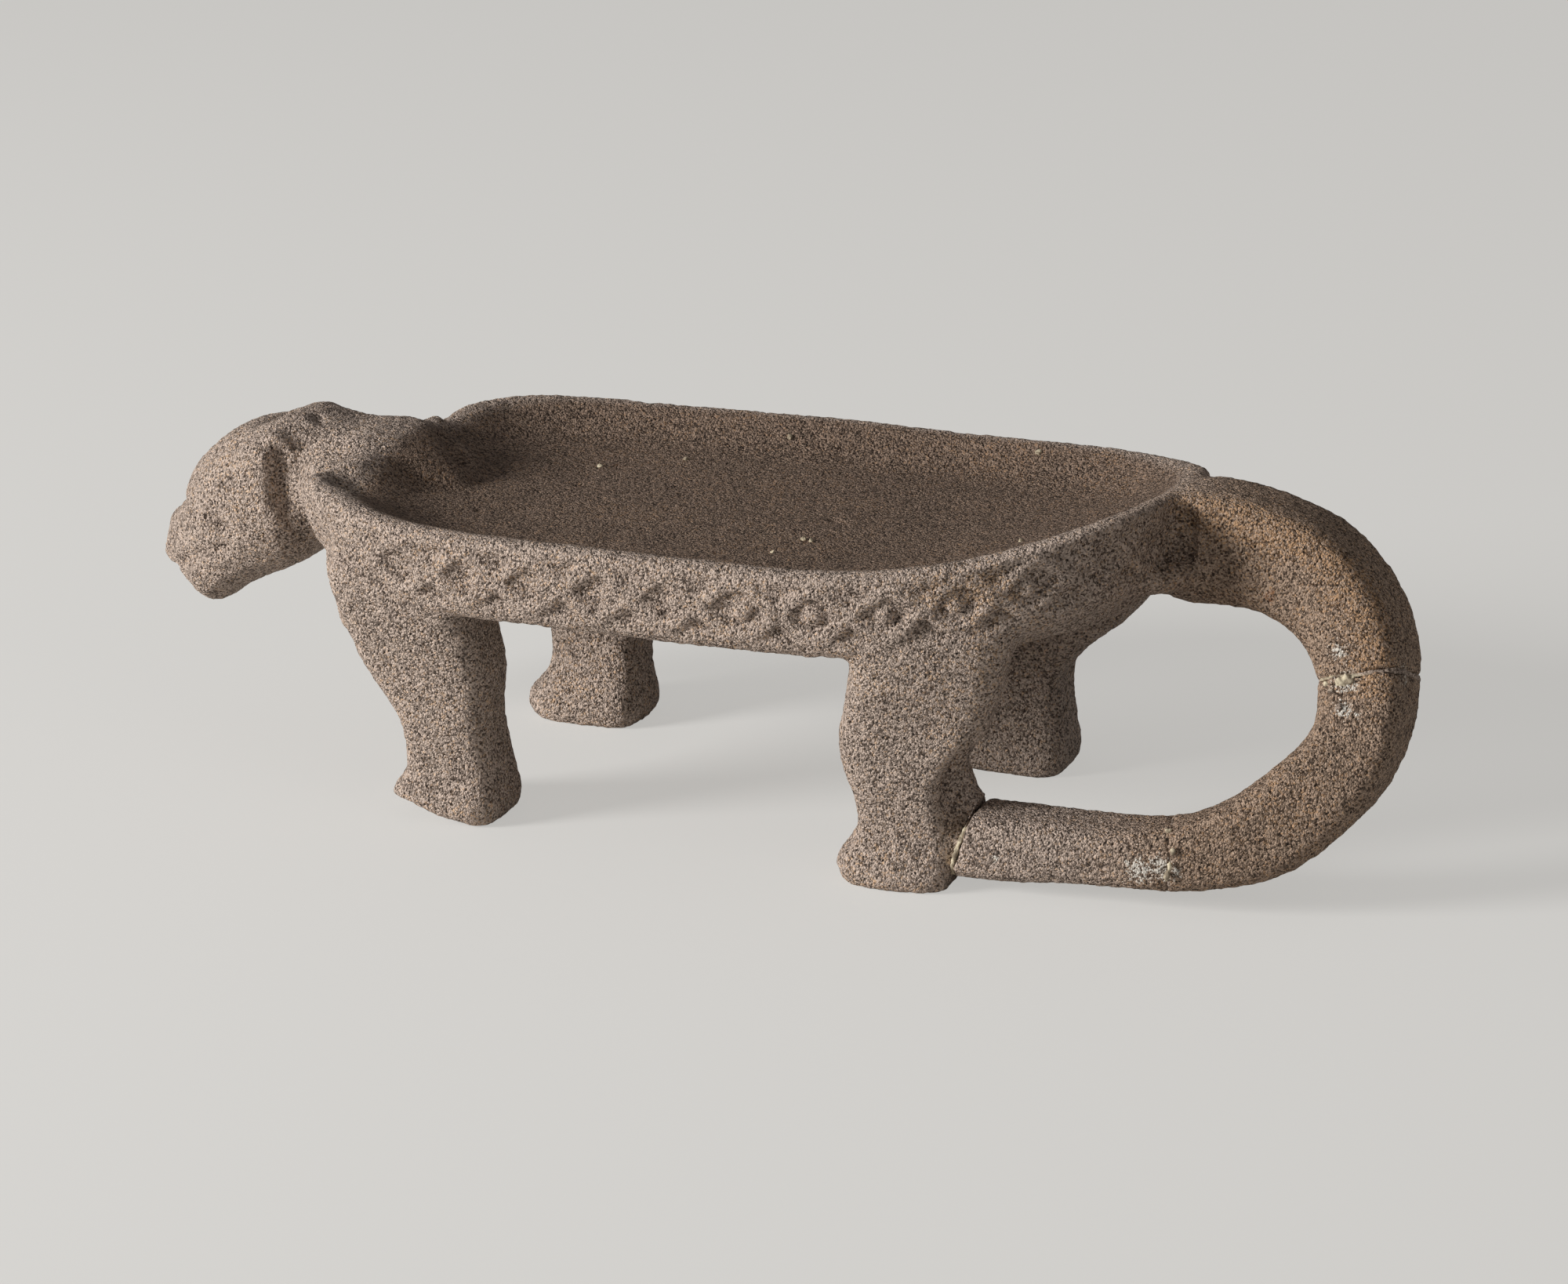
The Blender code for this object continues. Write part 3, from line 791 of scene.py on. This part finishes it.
# Head: the neck set in behind the ridge of the cheek and ear
cheek = {
    "heights": (0.07, 0.0808, 0.0858, 0.0916, 0.0991, 0.106, 0.1111, 0.114),
    "crest": (-0.169, -0.1735, -0.1762, -0.1785, -0.18, -0.1795, -0.18, -0.185),
    "step": 0.0042,
    "neckHalf": 0.0212,
    "blendStart": -0.1775,
    "blendEnd": -0.1665,
    "jaw": 0.062,
    "top": 0.1165,
    "fade": 0.006,
    "napes": [
        (-0.152, 0.044, 0.098), (-0.14, 0.056, 0.08), (-0.131, 0.058, 0.07), (-0.132, 0.034, 0.074),
    ],
    "napeReach": 0.021,
    "napeRounds": 80,
    "underShoulders": [(-0.136, 0.044, 0.072), (-0.128, 0.046, 0.064), (-0.149, 0.034, 0.08)],
    "underReach": 0.019,
    "underRounds": 50,
    "ear": (-0.18, 0.0225, 0.11),
    "earReach": 0.013,
    "earRounds": 16,
}


def setNeckIn(piece, look):
    points = readPoints(piece.data)
    x, y, z = points.T
    crest = np.interp(z, look["heights"], look["crest"])
    behind = smooth((x - crest) / look["step"])
    behind = behind * (1.0 - smooth((x - look["blendStart"]) / (look["blendEnd"] - look["blendStart"])))
    behind = behind * smooth((z - look["jaw"]) / look["fade"]) * smooth((look["top"] - z) / look["fade"])
    inset = np.sign(y) * np.minimum(np.abs(y), look["neckHalf"])
    points[:, 1] = y + (inset - y) * behind
    writePoints(piece.data, points)


setNeckIn(carved, cheek)
weight = aroundBoth(readPoints(carved.data), cheek["napes"], cheek["napeReach"])
relax(carved, cheek["napeRounds"], hollowsOnly=True, weight=weight)
weight = aroundBoth(readPoints(carved.data), cheek["underShoulders"], cheek["underReach"])
relax(carved, cheek["underRounds"], weight=weight)
weight = around(readPoints(carved.data), cheek["ear"], cheek["earReach"])
relax(carved, cheek["earRounds"], weight=weight)
relax(carved, 2)
print("neck set in")

# Ornament: two crossing strands and pellets, flush in a shallow channel round the band
ornament = {
    "Pitch": 0.0246,
    "Swing": 0.0086,
    "Lean": 0.1,
    "Strand Radius": 0.0036,
    "Strand Height": 0.001,
    "Pellet Radius": 0.0043,
    "Pellet Height": 0.0011,
    "Roundness": 0.55,
    "Worn Front": -0.122,
}
band = {
    "points": 360,
    "drop": 0.014,
    "slant": 0.003,
    "recess": 0.0021,
    "recessHalf": 0.0096,
    "recessEdge": 0.0045,
    "upright": 0.6,
    "uprightRun": 0.3,
    "face": 0.93,
    "faceRun": 0.03,
    "faceEnd": 1.05,
    "step": 0.0013,
    "wornRun": 0.016,
    "wornSink": 0.0006,
    "wearSize": 0.0625,
    "wearLow": 0.3,
    "wearHigh": 0.6,
    "leastKept": 0.4,
    "firstEye": (0.024, -0.0905),
    "thigh": (0.086, -0.08, 0.0735),
    "thighSquash": np.array((0.4, 0.6, 1.0)),
    "thighReach": 0.0145,
    "thighRounds": 24,
}


def bandLine(name, look):
    loop, length = rimLoop(look["points"])
    gap = np.hypot(loop[:, 0] - look["firstEye"][0], loop[:, 1] - look["firstEye"][1])
    loop = np.roll(loop, -int(np.argmin(gap)), axis=0)
    middle = plate["rimHeight"] - look["drop"]
    scale = 1.0 - look["slant"] * 0.5 / plateHigh.y
    curve = bpy.data.curves.new(name, "CURVE")
    curve.dimensions = "3D"
    spline = curve.splines.new("POLY")
    spline.points.add(len(loop) - 1)
    spline.use_cyclic_u = True
    for point, (x, y) in zip(spline.points, loop):
        point.co = (x * scale, y * scale, middle + float(endLift(x, y)), 1.0)
    return newObject(name, curve), length * scale


def ornamentTree(material):
    grow = Growth("band_ornament", ornament)
    sockets = {0: grow.input("Geometry"), "Length": band["step"]}
    line = grow.node("GeometryNodeResampleCurve", {"mode": "LENGTH"}, sockets)
    run = grow.node("GeometryNodeSplineParameter", None, None, "Length")
    phase = run / grow.input("Pitch")
    zigzag = grow.node("ShaderNodeMath", {"operation": "PINGPONG"}, {0: phase, 1: 1.0}) * 2.0 - 1.0
    wave = grow.node("ShaderNodeMath", {"operation": "COSINE"}, {0: phase * math.pi}) * -1.0
    swing = zigzag + (wave - zigzag) * grow.input("Roundness")
    tangent = grow.node("GeometryNodeInputTangent")
    outward = grow.vector("CROSS_PRODUCT", tangent, (0.0, 0.0, 1.0))
    outward = grow.node("ShaderNodeVectorMath", {"operation": "NORMALIZE"}, {0: outward})
    place = grow.node("GeometryNodeInputPosition")
    sockets = {"Vector": place, "Scale": 1.0 / band["wearSize"], "Detail": 1.0}
    wear = grow.node("ShaderNodeTexNoise", None, sockets).ramp(band["wearLow"], band["wearHigh"])
    front = grow.node("ShaderNodeSeparateXYZ", None, {0: place}) - grow.input("Worn Front")
    kept = (wear * (1.0 - band["leastKept"]) + band["leastKept"]) * front.ramp(0.0, band["wornRun"])
    sink = (1.0 - kept) * band["wornSink"]

    def strand(side):
        rise = swing * grow.input("Swing") * side
        out = rise * grow.input("Lean") - grow.input("Strand Radius") + grow.input("Strand Height") - sink
        up = grow.node("ShaderNodeCombineXYZ", None, {"Z": rise})
        offset = grow.vector("ADD", grow.scaled(outward, out), up)
        moved = grow.node("GeometryNodeSetPosition", None, {0: line, "Offset": offset})
        sockets = {"Resolution": 10, "Radius": grow.input("Strand Radius")}
        ring = grow.node("GeometryNodeCurvePrimitiveCircle", None, sockets)
        return grow.node("GeometryNodeCurveToMesh", None, {0: moved, 1: ring})

    sockets = {0: grow.input("Geometry"), "Length": grow.input("Pitch")}
    stations = grow.node("GeometryNodeResampleCurve", {"mode": "LENGTH"}, sockets)
    inward = grow.input("Pellet Height") - grow.input("Pellet Radius") - sink
    sockets = {0: stations, "Offset": grow.scaled(outward, inward)}
    stations = grow.node("GeometryNodeSetPosition", None, sockets)
    sockets = {"Radius": grow.input("Pellet Radius"), "Subdivisions": 3}
    ball = grow.node("GeometryNodeMeshIcoSphere", None, sockets)
    pellets = grow.node("GeometryNodeInstanceOnPoints", None, {0: stations, "Instance": ball})
    joined = grow.nodes.new("GeometryNodeJoinGeometry")
    for part in (pellets, strand(-1.0), strand(1.0)):
        grow.links.new(part.socket, joined.inputs[0])
    grow.end(Sock(grow, joined.outputs[0]), material)
    return grow


def recessBand(piece, look):
    points = readPoints(piece.data)
    normals = readNormals(piece.data)
    share = rimShare(points)
    middle = plate["rimHeight"] - look["drop"] + endLift(points[:, 0], points[:, 1])
    inBand = 1.0 - smooth((np.abs(points[:, 2] - middle) - look["recessHalf"]) / look["recessEdge"] + 0.5)
    sideways = smooth((np.hypot(normals[:, 0], normals[:, 1]) - look["upright"]) / look["uprightRun"])
    kept = smooth((points[:, 0] - ornament["Worn Front"]) / look["wornRun"])
    onFace = inBand * sideways * kept * smooth((share - look["face"]) / look["faceRun"])
    onFace = onFace * (share < look["faceEnd"])
    points -= normals * (look["recess"] * onFace)[:, None]
    writePoints(piece.data, points)


line, bandLength = bandLine("band_line", band)
ornament["Pitch"] = bandLength / (2 * round(bandLength / ornament["Pitch"] / 2))
strands = ornamentTree(stone).apply(line, ornament)
recessBand(carved, band)
joinInto(carved, strands)
carved = remesh(carved, body["voxel"])
relax(carved, 1)
squash = band["thighSquash"]
weight = around(readPoints(carved.data) * squash, np.array(band["thigh"]) * squash, band["thighReach"])
relax(carved, band["thighRounds"], weight=weight)
print("ornament cut", len(carved.data.vertices))

# Strokes of the pecking stone on face, nape, rim corner, dish and the hollow beside the heel:
# path, width and depth
strokes = [
    ([(-0.219, -0.016, 0.0855), (-0.2225, 0.0, 0.0865), (-0.219, 0.016, 0.0855)], 0.0026, 0.0014),
    ([(-0.2265, -0.012, 0.0685), (-0.231, 0.0, 0.069), (-0.2265, 0.012, 0.0685)], 0.0018, 0.0014),
    (
        [(-0.229, 0.0, 0.0598), (-0.2262, -0.009, 0.0605), (-0.2205, -0.0167, 0.0643),
         (-0.2108, -0.0232, 0.0692), (-0.1972, -0.0272, 0.0742)],
        0.002, 0.002, "both sides",
    ),
    ([(-0.211, -0.0232, 0.064), (-0.1999, -0.0238, 0.0645)], 0.0022, 0.001, "both sides"),
    ([(-0.2035, -0.0264, 0.0843), (-0.2, -0.0272, 0.0836)], 0.0019, 0.0018, "both sides"),
    ([(-0.199, -0.0274, 0.0826), (-0.1955, -0.0278, 0.0815)], 0.0019, 0.0018, "both sides"),
    ([(-0.1705, -0.006, 0.12), (-0.166, -0.0095, 0.1195)], 0.0025, 0.0016),
    ([(-0.144, -0.043, 0.108), (-0.136, -0.051, 0.108)], 0.007, 0.0048),
    ([(-0.1285, 0.01, 0.1125), (-0.123, 0.004, 0.1105), (-0.1171, -0.0003, 0.1071)], 0.0032, 0.0026),
    (
        [(0.0935, -0.0675, 0.044), (0.0915, -0.069, 0.038), (0.0915, -0.0695, 0.031),
         (0.0945, -0.069, 0.0225)],
        0.0048, 0.0064,
    ),
    ([(0.0205, 0.0027, 0.0995), (0.0255, 0.0015, 0.0995)], 0.0016, 0.0022),
    ([(-0.0785, 0.0113, 0.0995), (-0.075, 0.0113, 0.0995)], 0.0015, 0.0014),
]
press(carved, strokes)

# Broken ends of the tail, drawn up to the mends along wavy breaks
tailLoop = (0.1575, -0.03, 0.062)
upperBreak = {"node": "upper_tail_mend", "reach": 0.03, "gapOut": 0.00016, "gapIn": 0.0003}
lowerBreak = {"node": "lower_tail_mend", "reach": 0.026, "gapOut": -0.0006, "gapIn": -0.0002}
breakFace = {"offset": 0.0006, "run": 0.006, "deepRun": 0.013}
breakWave = {
    "height": 0.00045,
    "inwardTurns": 520.0,
    "phase": 1.0,
    "acrossShare": 0.6,
    "acrossTurns": 700.0,
    "slantTurns": 300.0,
}
footBreak = {"start": 0.0874, "slope": 0.27, "gap": 0.0004, "run": 0.022, "top": 0.045, "inner": -0.036}


def breakFrame(node):
    points = readPoints(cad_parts[node].data)
    centre = points.mean(0)
    normal = np.linalg.svd(points - centre, full_matrices=False)[2][2]
    inward = np.array(tailLoop) - centre
    inward = inward - normal * (inward @ normal)
    return centre, normal, inward / np.linalg.norm(inward)


def settleBreak(piece, look):
    points = readPoints(piece.data)
    centre, normal, inward = breakFrame(look["node"])
    along, deep = (points - centre) @ normal, (points - centre) @ inward
    near = np.linalg.norm(points - centre, axis=1) < look["reach"]
    side = -np.sign(along[near].mean())
    across = (points[:, 1] - centre[1]) * breakWave["acrossTurns"] + deep * breakWave["slantTurns"]
    wave = np.sin(deep * breakWave["inwardTurns"] + breakWave["phase"])
    wave = wave + breakWave["acrossShare"] * np.sin(across)
    gap = look["gapOut"] + (look["gapIn"] - look["gapOut"]) * smooth(deep / breakFace["deepRun"])
    drawn = near * (1.0 - smooth((-side * along - breakFace["offset"]) / breakFace["run"]))
    shift = side * (breakFace["offset"] - gap) + breakWave["height"] * wave
    writePoints(piece.data, points + np.outer(drawn * shift, normal))


def footBreakX(z):
    return footBreak["start"] + footBreak["slope"] * z


def breakStub(piece):
    points = readPoints(piece.data)
    limit = footBreakX(points[:, 2]) - footBreak["gap"]
    low = (points[:, 2] < footBreak["top"]) & (points[:, 1] < footBreak["inner"])
    points[:, 0] = np.where(low, np.minimum(points[:, 0], limit), points[:, 0])
    writePoints(piece.data, points)


def breakTip(piece):
    points = readPoints(piece.data)
    start = points[:, 0].min()
    near = 1.0 - smooth((points[:, 0] - start) / footBreak["run"])
    points[:, 0] += near * (footBreakX(points[:, 2]) + footBreak["gap"] - start)
    writePoints(piece.data, points)


settleBreak(carved, upperBreak)
breakStub(carved)
paint(carved)
carved = stoneWeather.apply(carved, weather)
carved = thin(carved, body["triangles"])
onFloor(carved)
paint(carved)
print("carved body done", len(carved.data.polygons))

# Broken pieces of the tail
tailPieces = [
    {"name": "tail_bend_stone", "node": "tail_bend", "breaks": [upperBreak, lowerBreak], "pulls": []},
    {
        "name": "tail_tip_stone", "node": "tail_tip", "breaks": [lowerBreak],
        "pulls": [
            ((0.106, -0.06, 0.0275), (0.022, 0.02, 0.01), (0.0, 0.0, -0.001)),
        ],
    },
]
tailSkin = {"swell": 0.0004, "voxel": 0.001, "rounds": 2}
stones = [carved]
for look in tailPieces:
    piece = joinedCopy(look["name"], [look["node"]], tailSkin["swell"])
    piece = remesh(piece, tailSkin["voxel"])
    relax(piece, tailSkin["rounds"])
    for broken in look["breaks"]:
        settleBreak(piece, broken)
    if look["node"] == "tail_tip":
        breakTip(piece)
    grab(piece, look["pulls"] + tailPulls)
    paint(piece)
    piece = stoneWeather.apply(piece, weather)
    paint(piece)
    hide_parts(look["node"])
    stones.append(piece)
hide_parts(*body["nodes"])
for piece in stones:
    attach(piece, "root")
    piece.data.shade_smooth()
print("tail stones done")

# Filler in the mends
fillerWeather = weatherTree("filler_weather", filler)
fillerGrain = {
    "Swell Size": 0.005,
    "Swell Height": 0.00045,
    "Peck Size": 0.0014,
    "Peck Height": 0.00055,
    "Pit Spacing": 0.003,
    "Pit Share": 0.5,
    "Pit Depth": 0.0004,
}
fillerSkin = {"voxel": 0.0005, "rounds": 2}
mends = [
    {
        "name": "upper_mend_filler", "node": "upper_tail_mend", "shrink": 0.972,
        "pale": [
            ([(0.202, -0.036, 0.074), (0.208, -0.038, 0.076), (0.2185, -0.0388, 0.0779)], 0.0034, 1.0),
        ],
        "lumps": [
            ((0.2036, -0.0373, 0.0742), (0.0016, 0.0007, 0.001)),
            ((0.2062, -0.0392, 0.0731), (0.0015, 0.0007, 0.001)),
            ((0.2084, -0.0379, 0.076), (0.0021, 0.0008, 0.0015)),
            ((0.2106, -0.0377, 0.0783), (0.0011, 0.0007, 0.0012)),
            ((0.2102, -0.038, 0.0756), (0.0022, 0.0007, 0.001)),
            ((0.2128, -0.038, 0.0772), (0.0016, 0.0007, 0.001)),
            ((0.2101, -0.0416, 0.0695), (0.0011, 0.0006, 0.0014)),
        ],
    },
    {
        "name": "lower_mend_filler", "node": "lower_tail_mend", "shrink": 0.955,
        "pale": [
            ([(0.1605, -0.064, 0.0275)], 0.0019, 1.0),
            ([(0.1634, -0.0684, 0.0211)], 0.0018, 1.0),
            ([(0.1628, -0.0692, 0.0166), (0.1622, -0.0692, 0.0121)], 0.0024, 1.0),
        ],
        "lumps": [
            ((0.1605, -0.064, 0.0276), (0.0013, 0.001, 0.0009)),
            ((0.1634, -0.0685, 0.0211), (0.0009, 0.0009, 0.0015)),
            ((0.1628, -0.0693, 0.0167), (0.001, 0.0009, 0.0019)),
            ((0.162, -0.0693, 0.0131), (0.0012, 0.0009, 0.0019)),
        ],
    },
]


def finishFiller(piece, node, pale=None):
    piece = remesh(piece, fillerSkin["voxel"])
    relax(piece, fillerSkin["rounds"])
    piece = fillerWeather.apply(piece, fillerGrain)
    onFloor(piece)
    if pale:
        # away from the pale spots the filler is toned to match the stone
        trails = [(pulled(np.array(path), tailPulls), *rest) for path, *rest in pale]
        writeField(piece.data, "toned", 1.0 - trailField(readPoints(piece.data), trails))
    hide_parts(node)
    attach(piece, "root")
    piece.data.shade_smooth()


for look in mends:
    piece = joinedCopy(look["name"], [look["node"]], 0.0)
    centre, normal, inward = breakFrame(look["node"])
    points = readPoints(piece.data) - centre
    flat = points - np.outer(points @ normal, normal)
    writePoints(piece.data, centre + points + flat * (look["shrink"] - 1.0))
    work = bmesh.new()
    work.from_mesh(piece.data)
    for lump in look["lumps"]:
        addLump(work, *lump)
    work.to_mesh(piece.data)
    work.free()
    grab(piece, tailPulls)
    finishFiller(piece, look["node"], look["pale"])

# The foot's filler is a thin wad behind the tip's broken end
footWad = {"half": 0.0008, "middle": 0.0135, "rise": 0.0105, "inset": 0.0003, "sides": 40}
footLow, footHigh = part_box("foot_mend")
centre = Vector((0.0, (footLow.y + footHigh.y) / 2.0, footWad["middle"]))
work = bmesh.new()
place = Matrix.Translation(centre) @ Matrix.Rotation(math.pi / 2.0, 4, "Y")
bmesh.ops.create_cone(
    work, cap_ends=True, segments=footWad["sides"], radius1=1.0, radius2=1.0, depth=2.0, matrix=place
)
wadMesh = bpy.data.meshes.new("foot_mend_filler")
work.to_mesh(wadMesh)
work.free()
wad = newObject("foot_mend_filler", wadMesh)
points = readPoints(wadMesh) - np.array(centre)
points[:, 0] *= footWad["half"]
points[:, 1] *= (footHigh.y - footLow.y) / 2.0 - footWad["inset"]
points[:, 2] *= footWad["rise"]
points += np.array(centre)
points[:, 0] += footBreakX(points[:, 2])
writePoints(wadMesh, points)
finishFiller(wad, "foot_mend")
print("mends done")

# Pale crumbs left in the dish: place across the dish and radius
crumbSpots = [
    (-0.0795, 0.035, 0.0009), (-0.054, 0.053, 0.0008), (-0.023, 0.076, 0.001),
    (0.0196, -0.0228, 0.001), (0.0227, -0.0236, 0.0008), (0.0155, -0.041, 0.0007),
    (0.0705, 0.0757, 0.0011), (0.0936, -0.0146, 0.0008),
]
crumbLook = {"Lump Size": 0.001}
crumbDrop = {"from": 0.2, "raised": 0.25}


def crumbTree(material):
    grow = Growth("dish_crumbs", crumbLook)
    size = grow.node("GeometryNodeInputNamedAttribute", {"data_type": "FLOAT"}, {"Name": "size"})
    ball = grow.node("GeometryNodeMeshIcoSphere", None, {"Radius": 1.0, "Subdivisions": 3})
    sockets = {0: grow.input("Geometry"), "Instance": ball, "Scale": size}
    crumbs = grow.node("GeometryNodeInstanceOnPoints", None, sockets)
    solid = grow.node("GeometryNodeRealizeInstances", None, {0: crumbs})
    place = grow.node("GeometryNodeInputPosition")
    sockets = {"Vector": place, "Scale": 1.0 / grow.input("Lump Size"), "Detail": 2.0}
    lump = (grow.node("ShaderNodeTexNoise", None, sockets) - 0.5) * 1.4 * grow.input("Lump Size")
    sockets = {0: solid, "Offset": grow.scaled(grow.node("GeometryNodeInputNormal"), lump)}
    grow.end(grow.node("GeometryNodeSetPosition", None, sockets), material)
    return grow


spots = []
for x, y, size in crumbSpots:
    start = Vector((x, y, crumbDrop["from"]))
    place = carved.ray_cast(start, Vector((0.0, 0.0, -1.0)))[1]
    spots.append(place + Vector((0.0, 0.0, crumbDrop["raised"] * size)))
mesh = bpy.data.meshes.new("dish_crumbs")
mesh.from_pydata([tuple(spot) for spot in spots], [], [])
writeField(mesh, "size", np.array([spot[2] for spot in crumbSpots]))
crumbs = crumbTree(filler).apply(newObject("dish_crumbs", mesh), crumbLook)
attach(crumbs, "root")
print("crumbs done")

# Floor, light and camera
stageLook = {
    "floor": linear(228, 226, 222),
    "floorGlow": 0.6,
    "floorSize": 16.0,
    "world": linear(206, 206, 208),
    "worldStrength": 0.27,
    "keyPower": 98.0,
    "keySize": 1.0,
    "keyTurn": -72.0,
    "keyRise": 19.0,
    "keyDistance": 3.0,
    "fillPower": 9.0,
    "fillSize": 2.4,
    "fillTurn": 44.0,
    "fillRise": 26.0,
    "fillDistance": 4.6,
}
view = {
    "turn": 21.0,
    "rise": 18.1,
    "distance": 1.5,
    "target": (0.00384, 0.0, 0.0545),
    "lens": 100.0,
    "sensor": 36.0,
}


def direction(turn, rise):
    turn, rise = math.radians(turn), math.radians(rise)
    return Vector((math.sin(turn) * math.cos(rise), -math.cos(turn) * math.cos(rise), math.sin(rise)))


def aimed(made, turn, rise, distance, target):
    back = direction(turn, rise)
    made.location = Vector(target) + back * distance
    made.rotation_euler = back.to_track_quat("Z", "Y").to_euler()
    scene.collection.objects.link(made)
    return made


def softLight(name, look, key):
    lamp = bpy.data.lights.new(name, "AREA")
    lamp.shape = "DISK"
    lamp.size = look[key + "Size"]
    lamp.energy = look[key + "Power"]
    made = bpy.data.objects.new(name, lamp)
    turn = view["turn"] + look[key + "Turn"]
    return aimed(made, turn, look[key + "Rise"], look[key + "Distance"], view["target"])


def floorMaterial(look):
    # the floor glows a little where it is seen, so it reads pale and keeps the shadow
    shade = Shade("floor")
    shade.feed("Base Color", look["floor"])
    shade.feed("Roughness", 0.9)
    shade.feed("Specular IOR Level", 0.2)
    ray = shade.node("ShaderNodeLightPath", None, None, "Is Camera Ray")
    seen = ray.most(shade.other(ray, "Is Glossy Ray")).most(shade.other(ray, "Is Transmission Ray"))
    glow = shade.node("ShaderNodeEmission", None, {"Color": look["floor"]})
    lit = Sock(shade, shade.shader.outputs[0])
    mixed = shade.node("ShaderNodeMixShader", None, {0: seen * look["floorGlow"], 1: lit, 2: glow})
    shade.links.new(mixed.socket, shade.nodes["Material Output"].inputs["Surface"])
    return shade.material


softLight("key", stageLook, "key")
softLight("fill", stageLook, "fill")
world = bpy.data.worlds.new("studio")
world.use_nodes = True
world.node_tree.nodes["Background"].inputs["Color"].default_value = stageLook["world"]
world.node_tree.nodes["Background"].inputs["Strength"].default_value = stageLook["worldStrength"]
scene.world = world

work = bmesh.new()
bmesh.ops.create_grid(work, x_segments=4, y_segments=4, size=stageLook["floorSize"] / 2.0)
floorMesh = bpy.data.meshes.new("floor")
work.to_mesh(floorMesh)
work.free()
floorMesh.materials.append(floorMaterial(stageLook))
floor = newObject("floor", floorMesh)

lens = bpy.data.cameras.new("camera")
lens.lens = view["lens"]
lens.sensor_width = view["sensor"]
camera = bpy.data.objects.new("camera", lens)
scene.camera = aimed(camera, view["turn"], view["rise"], view["distance"], view["target"])
scene.view_settings.view_transform = "Standard"
print("stage done")
